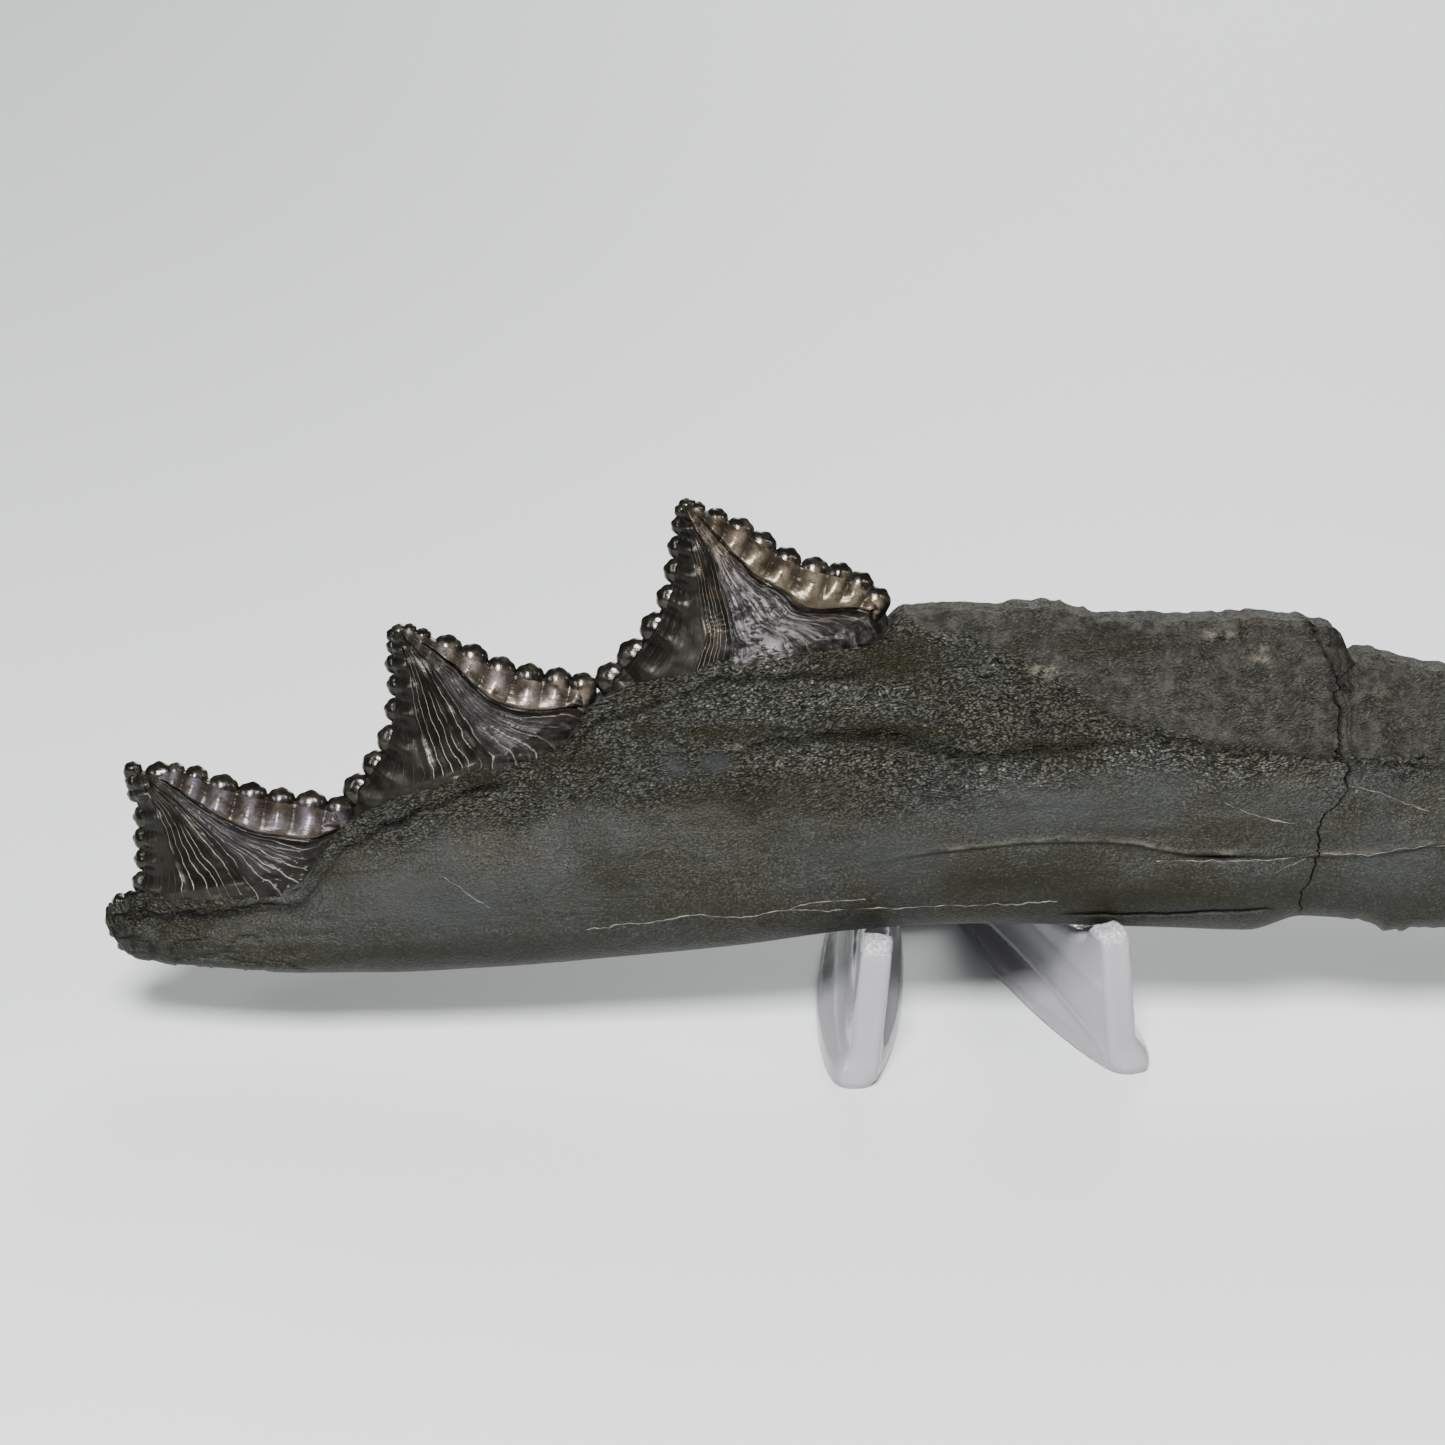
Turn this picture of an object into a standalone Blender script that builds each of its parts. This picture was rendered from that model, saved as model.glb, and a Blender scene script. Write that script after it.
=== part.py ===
"""Fossil Edestus shark jaw, leaning back in a small clear moulded display stand.

Two pieces: the jaw, which is one petrified mass (root, three serrated crowns, their denticles), and the
stand, one plastic moulding of two splayed legs joined by a bridge.

The jaw is drawn in its own plane, in millimetres: u runs along it from the young tip (negative) to the
broken rear end, v runs up it, and w is measured from its middle plane out to either face.
The stand is drawn in plan: p to its right, q to its back, z up.
"""

import math

import bmesh
import bpy
import numpy as np
from mathutils import Matrix, Vector

MM = 0.001
OBJECT_NAME = "fossil_edestus_jaw"

# Side view of the root, in millimetres (u, v)
KEEL = [(-134.6, 1.0), (-132.9, -2.4), (-129.0, -5.2), (-122.0, -5.8), (-110.4, -6.4), (-92.0, -6.6),
        (-78.3, -6.0), (-65.5, -5.1), (-40.3, -2.8), (-19.8, -0.1), (-1.8, 0.7), (25.5, 0.1), (37.5, -0.3),
        (45.6, 1.9), (54.0, 1.2), (58.8, -0.7), (66.8, 0.1), (80.0, 0.8), (95.0, 1.8), (110.0, 3.0),
        (124.0, 4.6), (134.0, 6.2)]
ROOT_TOP = [(-134.6, 3.6), (-127.0, 6.5), (-116.0, 7.3), (-105.5, 8.7), (-101.0, 14.0), (-97.0, 17.6),
            (-85.3, 23.2), (-78.7, 25.8), (-66.0, 28.6), (-61.5, 34.6), (-56.0, 37.6), (-49.0, 39.7),
            (-41.0, 42.7), (-20.7, 43.6), (-14.0, 49.0), (0.0, 49.5), (6.1, 50.0), (17.0, 47.8),
            (30.5, 48.2), (39.7, 48.4), (48.2, 47.0), (50.8, 45.1), (52.6, 41.6), (61.3, 41.1),
            (66.8, 40.2), (78.0, 37.4), (92.0, 33.6), (100.0, 31.8), (109.0, 26.8), (121.0, 23.6),
            (129.0, 20.4), (134.0, 15.2)]

# Half of the root's thickness at its widest, in millimetres (u, w)
HALF_THICKNESS = [(-134.6, 2.4), (-131.0, 4.6), (-124.0, 6.6), (-110.0, 8.4), (-90.0, 9.5), (-60.0, 10.1),
                  (-20.0, 10.5), (40.0, 10.4), (70.0, 9.8), (100.0, 8.6), (120.0, 7.2), (134.0, 5.2)]

# Section of the root: share of its height, share of its half thickness. The dips are two old ledges.
SECTION = [(0.0, 0.0), (0.025, 0.42), (0.08, 0.71), (0.16, 0.91), (0.235, 0.985), (0.26, 0.955),
           (0.40, 1.0), (0.545, 0.95), (0.585, 0.84), (0.72, 0.80), (0.88, 0.70), (0.965, 0.61),
           (1.0, 0.46)]
LEDGE_LEVELS = (0.26, 0.585)
LEDGE_START = -60.0
LEDGE_FULL = -20.0

STATION_PITCH = 6.5
SURFACE_WAVE = 0.22

# Crests of the denticles of each crown, from the apex down (u, v), and the enamel's lower edge
CROWNS = {
    "front": {
        "front": [(-131.6, 22.8), (-131.3, 20.4), (-130.6, 17.0), (-130.7, 13.8), (-130.6, 10.7),
                  (-130.9, 7.7), (-132.6, 5.0)],
        "apex": (-130.5, 25.6),
        "rear": [(-126.1, 25.9), (-123.6, 25.6), (-120.3, 25.2), (-116.0, 23.9), (-111.7, 22.7),
                 (-107.7, 21.9), (-103.0, 21.5), (-98.7, 20.6)],
        "base": [(-132.0, 3.6), (-124.0, 5.0), (-112.0, 6.6), (-103.0, 9.4), (-98.0, 15.5)],
    },
    "middle": {
        "front": [(-91.8, 45.4), (-92.0, 43.2), (-92.3, 40.5), (-92.1, 37.3), (-92.5, 33.9), (-93.6, 29.9),
                  (-95.6, 26.5), (-98.4, 23.1)],
        "apex": (-90.1, 46.5),
        "rear": [(-88.2, 46.7), (-86.0, 46.0), (-82.0, 45.1), (-77.9, 43.6), (-74.0, 41.8), (-69.9, 40.8),
                 (-65.9, 40.2), (-62.1, 39.4)],
        "base": [(-97.6, 15.5), (-90.0, 19.0), (-80.0, 23.5), (-69.0, 26.5), (-60.0, 30.0)],
    },
    "rear": {
        "front": [(-48.7, 64.1), (-49.4, 61.6), (-50.0, 58.4), (-50.6, 54.9), (-51.6, 51.3), (-53.8, 47.4),
                  (-57.0, 43.6), (-60.2, 40.2)],
        "apex": (-47.1, 65.4),
        "rear": [(-45.0, 65.0), (-41.9, 64.1), (-38.0, 62.6), (-34.4, 60.4), (-31.0, 58.2), (-27.1, 56.8),
                 (-23.5, 56.0), (-19.9, 54.4), (-17.0, 51.8)],
        "base": [(-59.6, 31.5), (-52.0, 36.0), (-41.0, 40.0), (-28.0, 41.5), (-15.0, 43.0)],
    },
}

# Crown blades
BLADE_ROWS = 8
BLADE_COLUMNS = 7
EDGE_HALF = 1.0
APEX_HALF = 1.3
BASE_HALF = 6.1
BLADE_SINK = 3.5
CREST_INSET = 1.3

# Denticles: width along the edge as a share of their pitch, length into the crown, thickness
BEAD_WIDTH_SHARE = 1.08
BEAD_LENGTH_SHARE = 1.45
BEAD_MIN_LENGTH = 3.4
BEAD_GROUPS = 3
BEAD_THICKNESS = 3.0
SMALL_BEAD_PITCH = 2.7
APEX_BEAD_RADIUS = 1.5

# Old break across the root, in the side view (u, v), and its second short branch at the top
BREAK_LINE = [(48.3, 48.5), (48.4, 41.6), (50.5, 37.6), (50.6, 32.1), (51.2, 26.4), (52.8, 22.4),
              (48.3, 15.8), (47.7, 8.1), (46.0, 4.8), (45.8, -1.0)]
BREAK_BRANCH = [(56.0, 44.5), (54.4, 41.8), (52.0, 38.6), (50.9, 37.0)]
BREAK_WIDTH = 0.8
BREAK_DEPTH = 1.2
CUTTER_CLEARANCE = 1.5

# Pose of the jaw in the stand
LEAN = math.radians(10.0)
JAW_Y = 18.55
JAW_Z = 19.0

# Stand, in millimetres
STAND_TURN = math.radians(7.0)
STAND_ORIGIN = (-0.9, 4.2)
LEG_SPLAY = math.radians(10.4)
LEG_FRONT_P = 20.1
LEG_LEAN = math.radians(5.0)
WEB_THICKNESS = 4.7
WEB_EDGE_ROUND = 0.9
PAD_LENGTH = 76.0
PAD_FRONT_WIDTH = 9.6
PAD_MIDDLE_WIDTH = 13.6
PAD_RIM_HEIGHT = 3.0
PAD_OFFSET = 1.2
PAD_POINTS = 26
FLARE_HEIGHT = 11.0

# Outline of one leg's web (q, z): toe, front lip, ledge under the jaw, back rest, rear strut
LIP_TOP = 23.5
LEDGE_FRONT = (8.8, 19.6)
LEDGE_BACK = (27.2, 16.7)
REST_TOP = (36.2, 54.0)
REST_WIDTH = 6.5
REAR_FOOT_Q = 74.0
WEB_BOTTOM = 1.2

BRIDGE_FRONT_Q = 63.0
BRIDGE_BACK_Q = 74.0
BRIDGE_HEIGHT = 4.2
BRIDGE_HALF_WIDTH = 10.0


def clear_scene():
    for obj in list(bpy.data.objects):
        bpy.data.objects.remove(obj, do_unlink=True)


def make_collection(name):
    collection = bpy.data.collections.new(name)
    bpy.context.scene.collection.children.link(collection)
    return collection


def make_material(name, color, roughness, metallic=0.0, alpha=1.0):
    material = bpy.data.materials.new(name)
    material.use_nodes = True
    shader = material.node_tree.nodes["Principled BSDF"]
    shader.inputs["Base Color"].default_value = (*color, 1.0)
    shader.inputs["Roughness"].default_value = roughness
    shader.inputs["Metallic"].default_value = metallic
    shader.inputs["Alpha"].default_value = alpha
    material.diffuse_color = (*color, alpha)
    return material


def outline_value(points, u):
    return float(np.interp(u, [p[0] for p in points], [p[1] for p in points]))


def section_share(u, share):
    """Half thickness at a share of the height, with the two ledges fading in towards the rear."""
    plain = float(np.interp(share, [s for s, _ in SECTION if s not in LEDGE_LEVELS],
                            [w for s, w in SECTION if s not in LEDGE_LEVELS]))
    ledged = float(np.interp(share, [s for s, _ in SECTION], [w for _, w in SECTION]))
    fade = min(1.0, max(0.0, (u - LEDGE_START) / (LEDGE_FULL - LEDGE_START)))
    return plain + fade * (ledged - plain)


def root_half(u, v):
    """Distance from the middle plane to the root's face at one place of the side view."""
    low = outline_value(KEEL, u)
    high = outline_value(ROOT_TOP, u)
    share = min(1.0, max(0.0, (v - low) / (high - low)))
    wave = math.sin(u * 0.19) * math.cos(v * 0.33) + 0.6 * math.sin(u * 0.47 + v * 0.21)
    body = outline_value(HALF_THICKNESS, u) * section_share(u, share)
    return body + SURFACE_WAVE * wave * math.sin(math.pi * share)


def loft(rings, caps=True):
    """Closed solid through rings of equally many points, with a fan at either end."""
    bm = bmesh.new()
    layers = [[bm.verts.new(point) for point in ring] for ring in rings]
    count = len(rings[0])
    for lower, upper in zip(layers, layers[1:]):
        for i in range(count):
            j = (i + 1) % count
            bm.faces.new((lower[i], lower[j], upper[j], upper[i]))
    if caps:
        for layer in (layers[0], layers[-1]):
            middle = bm.verts.new(sum((vert.co for vert in layer), Vector()) / count)
            for i in range(count):
                bm.faces.new((layer[i], layer[(i + 1) % count], middle))
    bmesh.ops.recalc_face_normals(bm, faces=bm.faces)
    return bm


def mesh_object(name, bm, collection):
    bmesh.ops.triangulate(bm, faces=bm.faces)
    mesh = bpy.data.meshes.new(name)
    bm.to_mesh(mesh)
    bm.free()
    obj = bpy.data.objects.new(name, mesh)
    collection.objects.link(obj)
    return obj


def root_ring(u):
    low = outline_value(KEEL, u)
    height = outline_value(ROOT_TOP, u) - low
    heights = [low + height * share for share, _ in SECTION]
    halves = [root_half(u, v) for v in heights]
    face = [Vector((u, -w, v)) * MM for v, w in zip(heights, halves)]
    back = [Vector((u, w, v)) * MM for v, w in zip(heights[1:], halves[1:])]
    return face + back[::-1]


def root_stations():
    """Places of the root's sections: each point of its top outline, and evenly between those far apart."""
    marks = [u for u, _ in ROOT_TOP]
    stations = [marks[0]]
    for start, end in zip(marks, marks[1:]):
        steps = math.ceil((end - start) / STATION_PITCH)
        stations += [start + (end - start) * step / steps for step in range(1, steps + 1)]
    return stations


def make_root(collection):
    return mesh_object("jaw", loft([root_ring(u) for u in root_stations()]), collection)


def resample(points, count):
    """Equally spaced points along a polyline."""
    points = np.array(points, dtype=float)
    steps = np.hypot(*np.diff(points, axis=0).T)
    along = np.concatenate(([0.0], np.cumsum(steps)))
    targets = np.linspace(0.0, along[-1], count)
    return np.column_stack([np.interp(targets, along, points[:, axis]) for axis in (0, 1)])


def inset_edge(points, inside, distance):
    """The line of an edge's crests, drawn in towards a point inside the crown."""
    moved = []
    for u, v in points:
        direction = Vector((inside[0] - u, inside[1] - v)).normalized()
        moved.append((u + direction.x * distance, v + direction.y * distance))
    return moved


def make_blade(name, crown, collection):
    """The crown without its denticles: sections from its cutting edges down into the root."""
    centre = np.mean([crown["apex"], crown["front"][-1], crown["rear"][-1]], axis=0)
    edges = []
    for side in ("front", "rear"):
        crests = [crown["apex"]] + crown[side]
        edges.append(resample(inset_edge(crests, centre, CREST_INSET), BLADE_ROWS + 1)[1:])
    base = resample(crown["base"], BLADE_COLUMNS)
    shares = np.linspace(0.0, 1.0, BLADE_COLUMNS)
    rings = []
    for row in range(BLADE_ROWS + 2):
        depth = min(1.0, (row + 1) / BLADE_ROWS)
        at = min(row, BLADE_ROWS - 1)
        chord = np.outer(1.0 - shares, edges[0][at]) + np.outer(shares, edges[1][at])
        last = np.outer(1.0 - shares, edges[0][-1]) + np.outer(shares, edges[1][-1])
        if row >= BLADE_ROWS:
            line = base.copy()
            line[:, 1] -= BLADE_SINK * (row - BLADE_ROWS)
        else:
            line = chord + 0.55 * depth ** 2 * (base - last)
        middle = APEX_HALF + (BASE_HALF - APEX_HALF) * depth ** 0.8
        if row > BLADE_ROWS:
            middle *= 0.85
        halves = EDGE_HALF + (middle - EDGE_HALF) * np.sin(math.pi * shares) ** 0.6
        face = [Vector((u, -w, v)) * MM for (u, v), w in zip(line, halves)]
        back = [Vector((u, w, v)) * MM for (u, v), w in zip(line, halves)]
        rings.append(face + back[::-1])
    return mesh_object(name, loft(rings), collection)


def add_bead(bm, centre, axis, length, width, thickness, subdivisions=2):
    """One denticle: an egg whose long axis points out of the cutting edge."""
    turn = Matrix.Rotation(-math.atan2(axis[0], axis[1]), 4, "Y").inverted()
    size = Matrix.Diagonal((width / 2, thickness / 2, length / 2, 1.0))
    place = Matrix.Translation((centre[0], 0.0, centre[1]))
    scale = Matrix.Scale(MM, 4)
    matrix = scale @ place @ turn @ size
    bmesh.ops.create_icosphere(bm, subdivisions=subdivisions, radius=1.0, matrix=matrix)


def bead_rows(crown):
    """Crest, outward direction and pitch of every denticle of a crown."""
    beads = []
    for side, turn in (("front", -1.0), ("rear", 1.0)):
        crests = np.array([crown["apex"]] + crown[side])
        for i in range(1, len(crests)):
            after = crests[min(i + 1, len(crests) - 1)]
            along = after - crests[i - 1]
            pitch = float(np.hypot(*(crests[i] - crests[i - 1])))
            normal = np.array((-along[1], along[0])) * turn
            beads.append((crests[i], normal / np.hypot(*normal), pitch))
    return beads


def make_beads(collection):
    """All denticles, in groups in which no two touch."""
    groups = [bmesh.new() for _ in range(BEAD_GROUPS + 1)]
    for crown in CROWNS.values():
        for index, (crest, normal, pitch) in enumerate(bead_rows(crown)):
            width = pitch * BEAD_WIDTH_SHARE
            length = max(BEAD_MIN_LENGTH, pitch * BEAD_LENGTH_SHARE)
            centre = crest - normal * (length / 2 - 0.2)
            thickness = min(BEAD_THICKNESS, 1.1 * width)
            fineness = 1 if pitch < SMALL_BEAD_PITCH else 2
            add_bead(groups[index % BEAD_GROUPS], centre, normal, length, width, thickness, fineness)
        apex_radius = APEX_BEAD_RADIUS
        apex = (crown["apex"][0] + 0.3, crown["apex"][1] - apex_radius)
        add_bead(groups[-1], apex, (0.0, 1.0), 2.2 * apex_radius, 2 * apex_radius, 2 * apex_radius)
    return [mesh_object(f"denticles_{number}", bm, collection) for number, bm in enumerate(groups)]


def make_break_cutter(name, line, side, collection):
    """A wedge that follows the break along one face of the root."""
    rings = []
    for u, v in line:
        surface = root_half(u, v)
        outer = surface + CUTTER_CLEARANCE
        inner = max(0.4, surface - BREAK_DEPTH)
        spread = BREAK_WIDTH * (0.5 + CUTTER_CLEARANCE / BREAK_DEPTH / 2)
        rings.append([Vector((u - spread, side * outer, v)) * MM,
                      Vector((u + spread, side * outer, v)) * MM,
                      Vector((u, side * inner, v)) * MM])
    return mesh_object(name, loft(rings), collection)


def hide_cutter(obj):
    obj.hide_render = True
    obj.display_type = "WIRE"


def combine(target, tool, operation):
    modifier = target.modifiers.new(f"{operation.lower()}_{tool.name}", "BOOLEAN")
    modifier.operation = operation
    modifier.solver = "EXACT"
    modifier.object = tool
    hide_cutter(tool)


def tilt_jaw(obj):
    obj.matrix_world = (Matrix.Translation((0.0, JAW_Y * MM, JAW_Z * MM)) @
                        Matrix.Rotation(-LEAN, 4, "X"))


def make_jaw(parts, cutters, material):
    jaw = make_root(parts)
    jaw.data.materials.append(material)
    tools = [make_blade(f"crown_{name}", crown, cutters) for name, crown in CROWNS.items()]
    tools += make_beads(cutters)
    for tool in tools:
        combine(jaw, tool, "UNION")
    grooves = [make_break_cutter(f"break_{name}_{side:+d}", line, side, cutters)
               for name, line in (("line", BREAK_LINE), ("branch", BREAK_BRANCH)) for side in (-1, 1)]
    for groove in grooves:
        combine(jaw, groove, "DIFFERENCE")
    for obj in [jaw] + tools + grooves:
        tilt_jaw(obj)
    return jaw


def leg_matrix(side):
    """From a leg's own frame (x across, y back along the leg, z up) to the stand's plan."""
    turn = Matrix.Rotation(STAND_TURN, 4, "Z")
    origin = Matrix.Translation((STAND_ORIGIN[0] * MM, STAND_ORIGIN[1] * MM, 0.0))
    foot = Matrix.Translation((side * LEG_FRONT_P * MM, 0.0, 0.0))
    splay = Matrix.Rotation(side * LEG_SPLAY, 4, "Z")
    return origin @ turn @ foot @ splay


def web_outline():
    lip_back_q = LEDGE_FRONT[0] - 0.6
    return [(0.3, WEB_BOTTOM), (0.9, LIP_TOP - 2.6), (2.0, LIP_TOP - 0.7), (3.9, LIP_TOP),
            (6.2, LIP_TOP - 0.6), (lip_back_q - 0.4, LIP_TOP - 2.2), LEDGE_FRONT, LEDGE_BACK,
            REST_TOP, (REST_TOP[0] + 1.6, REST_TOP[1] + 2.2), (REST_TOP[0] + REST_WIDTH - 1.6, REST_TOP[1] + 2.2),
            (REST_TOP[0] + REST_WIDTH, REST_TOP[1]), (54.0, 25.0), (REAR_FOOT_Q - 6.0, 8.0),
            (REAR_FOOT_Q, WEB_BOTTOM)]


def curve_to_mesh(obj, collection):
    """A mesh in the place of a curve, its caps joined to its rim."""
    evaluated = obj.evaluated_get(bpy.context.evaluated_depsgraph_get())
    mesh = bpy.data.meshes.new_from_object(evaluated)
    bm = bmesh.new()
    bm.from_mesh(mesh)
    bmesh.ops.remove_doubles(bm, verts=bm.verts, dist=1e-6)
    bmesh.ops.recalc_face_normals(bm, faces=bm.faces)
    solid = mesh_object(f"{obj.name}_mesh", bm, collection)
    solid.matrix_world = obj.matrix_world.copy()
    bpy.data.meshes.remove(mesh)
    bpy.data.objects.remove(obj, do_unlink=True)
    return solid


def make_web(name, side, collection):
    """One leg's upright plate, with rounded rims."""
    curve = bpy.data.curves.new(name, "CURVE")
    curve.dimensions = "2D"
    curve.fill_mode = "BOTH"
    curve.extrude = (WEB_THICKNESS / 2 - WEB_EDGE_ROUND) * MM
    curve.bevel_depth = WEB_EDGE_ROUND * MM
    curve.bevel_resolution = 1
    curve.offset = -WEB_EDGE_ROUND * MM
    outline = web_outline()
    spline = curve.splines.new("POLY")
    spline.points.add(len(outline) - 1)
    for point, (q, z) in zip(spline.points, outline):
        point.co = (q * MM, z * MM, 0.0, 1.0)
    spline.use_cyclic_u = True
    obj = bpy.data.objects.new(name, curve)
    collection.objects.link(obj)
    upright = Matrix(((0, 0, 1, 0), (1, 0, 0, 0), (0, 1, 0, 0), (0, 0, 0, 1)))
    obj.matrix_world = leg_matrix(side) @ Matrix.Rotation(-side * LEG_LEAN, 4, "Y") @ upright
    bpy.context.view_layer.update()
    return curve_to_mesh(obj, collection)


def pad_ring(z, spread, inset):
    """Boat-shaped outline of a foot at one height."""
    ring = []
    half_length = PAD_LENGTH / 2 - inset
    for i in range(PAD_POINTS):
        angle = 2 * math.pi * i / PAD_POINTS
        along = math.sin(angle)
        reach = math.copysign(abs(along) ** 0.6, along)
        share = (reach + 1) / 2
        wide = PAD_FRONT_WIDTH + (PAD_MIDDLE_WIDTH - PAD_FRONT_WIDTH) * math.sin(math.pi * share)
        across = math.cos(angle)
        fill = math.copysign(abs(across) ** 0.5, across)
        x = fill * (wide / 2 - inset) * spread
        ring.append(Vector((x, PAD_LENGTH / 2 + reach * half_length, z)) * MM)
    return ring


def make_pad(name, side, collection):
    """One foot: a flat boat-shaped pad whose top sweeps up into the web."""
    levels = [(0.0, 1.0, 0.7), (0.7, 1.0, 0.0), (PAD_RIM_HEIGHT, 1.0, 0.2), (4.4, 0.74, 1.2),
              (6.8, 0.50, 2.2), (FLARE_HEIGHT, 0.33, 3.2)]
    obj = mesh_object(name, loft([pad_ring(*level) for level in levels]), collection)
    obj.matrix_world = leg_matrix(side) @ Matrix.Translation((side * PAD_OFFSET * MM, -0.6 * MM, 0.0))
    return obj


def make_bridge(collection):
    """The low plate that joins the two legs at the back."""
    bm = bmesh.new()
    depth = BRIDGE_BACK_Q - BRIDGE_FRONT_Q
    size = Matrix.Diagonal((2 * BRIDGE_HALF_WIDTH * MM, depth * MM, BRIDGE_HEIGHT * MM, 1.0))
    centre = Matrix.Translation((0.0, (BRIDGE_FRONT_Q + depth / 2) * MM, BRIDGE_HEIGHT / 2 * MM))
    bmesh.ops.create_cube(bm, size=1.0, matrix=centre @ size)
    long_edges = [e for e in bm.edges if abs(e.verts[0].co.x - e.verts[1].co.x) > MM]
    bmesh.ops.bevel(bm, geom=long_edges, offset=0.9 * MM, segments=2, affect="EDGES", profile=0.5)
    obj = mesh_object("stand_bridge", bm, collection)
    obj.matrix_world = (Matrix.Translation((STAND_ORIGIN[0] * MM, STAND_ORIGIN[1] * MM, 0.0)) @
                        Matrix.Rotation(STAND_TURN, 4, "Z"))
    return obj


def make_stand(parts, cutters, material):
    pieces = []
    for side, name in ((-1, "left"), (1, "right")):
        pieces.append(make_web(f"web_{name}", side, cutters))
        pieces.append(make_pad(f"pad_{name}", side, cutters))
    pieces.append(make_bridge(cutters))
    stand = bpy.data.objects.new("display_stand", pieces[0].data.copy())
    parts.objects.link(stand)
    stand.matrix_world = pieces[0].matrix_world.copy()
    stand.data.materials.clear()
    stand.data.materials.append(material)
    hide_cutter(pieces[0])
    for piece in pieces[1:]:
        combine(stand, piece, "UNION")
    return stand


def world_corners(obj):
    evaluated = obj.evaluated_get(bpy.context.evaluated_depsgraph_get())
    mesh = evaluated.to_mesh()
    points = np.array([(evaluated.matrix_world @ vert.co)[:] for vert in mesh.vertices])
    evaluated.to_mesh_clear()
    return points.min(axis=0), points.max(axis=0)


def put_origin_under_centre(solids):
    """Move everything so that the origin is under the middle of the object's box, on its lowest plane."""
    bpy.context.view_layer.update()
    corners = [world_corners(solid) for solid in solids]
    low = np.min([corner[0] for corner in corners], axis=0)
    high = np.max([corner[1] for corner in corners], axis=0)
    middle = (low + high) / 2
    shift = Matrix.Translation((-middle[0], -middle[1], -low[2]))
    for obj in bpy.data.objects:
        obj.matrix_world = shift @ obj.matrix_world
    bpy.context.view_layer.update()


def main():
    clear_scene()
    parts = make_collection(OBJECT_NAME)
    cutters = make_collection(f"{OBJECT_NAME}_cutters")
    stone = make_material("petrified_tooth", (0.060, 0.056, 0.048), 0.45)
    plastic = make_material("clear_plastic", (0.78, 0.78, 0.82), 0.12, alpha=0.45)
    jaw = make_jaw(parts, cutters, stone)
    stand = make_stand(parts, cutters, plastic)
    put_origin_under_centre([jaw, stand])


main()
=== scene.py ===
"""Looks of a fossil Edestus shark jaw, leaning back in a small clear moulded display stand.

The jaw is drawn in its own plane, in millimetres: u runs along it from the young tip (negative) to the
broken rear end, v runs up it, and w is measured from its middle plane, negative on the shown face.
One matrix then leans that plane back and puts it in the stand, in the frame's own metres.
"""

import logging
import math
from dataclasses import dataclass, field
from enum import Enum

import bmesh
import bpy
import numpy as np
from mathutils import Matrix, Vector


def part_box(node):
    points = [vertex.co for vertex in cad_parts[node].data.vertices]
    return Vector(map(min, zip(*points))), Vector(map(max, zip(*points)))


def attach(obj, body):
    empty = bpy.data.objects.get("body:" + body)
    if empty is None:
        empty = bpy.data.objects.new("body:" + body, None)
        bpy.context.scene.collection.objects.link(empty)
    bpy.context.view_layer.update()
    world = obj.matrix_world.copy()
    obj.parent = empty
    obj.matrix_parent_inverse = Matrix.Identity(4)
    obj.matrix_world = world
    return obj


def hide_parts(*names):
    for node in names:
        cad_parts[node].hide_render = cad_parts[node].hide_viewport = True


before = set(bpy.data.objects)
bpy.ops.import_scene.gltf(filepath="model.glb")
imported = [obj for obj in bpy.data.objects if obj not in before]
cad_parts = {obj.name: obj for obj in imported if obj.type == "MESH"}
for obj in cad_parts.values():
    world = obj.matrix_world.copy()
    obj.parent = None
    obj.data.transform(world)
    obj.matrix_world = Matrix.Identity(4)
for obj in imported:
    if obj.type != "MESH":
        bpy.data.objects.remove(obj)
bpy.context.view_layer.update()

LOG = logging.getLogger("edestus_jaw")
MM = 0.001
# The camera looks 10 degrees down on the leaning plane, from this far, at this place of it (u, v).
PARALLAX = math.tan(math.radians(10.0))
CAMERA_DISTANCE = 600.0
AXIS = (-41.6, 31.6)
# How often a place is moved until the camera sees it where it should.
SETTLING_ROUNDS = 5
Point = tuple[float, float]
Color = tuple[float, float, float]
Array = np.ndarray
Socket = bpy.types.NodeSocket
Object = bpy.types.Object
Mesh = bpy.types.Mesh
Material = bpy.types.Material


class Side(Enum):
    """The two faces of the jaw: SHOWN is the one that the photograph shows."""

    SHOWN = -1
    BACK = 1


class Tint(Enum):
    """What a patch on the root is, which is also the name of its colour attribute."""

    DUST = "dust"
    OLIVE = "olive"
    PALE = "pale"


def smooth_step(x: Array) -> Array:
    """Returns 0 below 0, 1 above 1, and a soft rise between."""
    x = np.clip(x, 0.0, 1.0)
    return x * x * (3.0 - 2.0 * x)


def bump(x: Array, width: float) -> Array:
    """Returns a bell curve of that half width."""
    return np.exp(-(x / width) ** 2)


def through(points: list[Point], x: Array) -> Array:
    """Smooth curve through points, which never swings past them.

    Args:
        points: (x, y) pairs in rising x.
        x: where the curve is read.

    Returns:
        The curve's heights at x.
    """
    xs, ys = np.array(points, dtype=float).T
    step = np.diff(xs)
    slope = np.diff(ys) / step
    tangent = np.zeros_like(ys)
    product = slope[:-1] * slope[1:]
    same = product > 0
    tangent[1:-1][same] = 2 * product[same] / (slope[:-1] + slope[1:])[same]
    tangent[0] = slope[0]
    tangent[-1] = slope[-1]
    at = np.clip(np.searchsorted(xs, x) - 1, 0, len(step) - 1)
    t = np.clip((x - xs[at]) / step[at], 0.0, 1.0)
    rise = ys[at] + (ys[at + 1] - ys[at]) * t * t * (3 - 2 * t)
    lean = step[at] * (tangent[at] * t * (1 - t) ** 2 - tangent[at + 1] * t * t * (1 - t))
    return rise + lean


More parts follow.
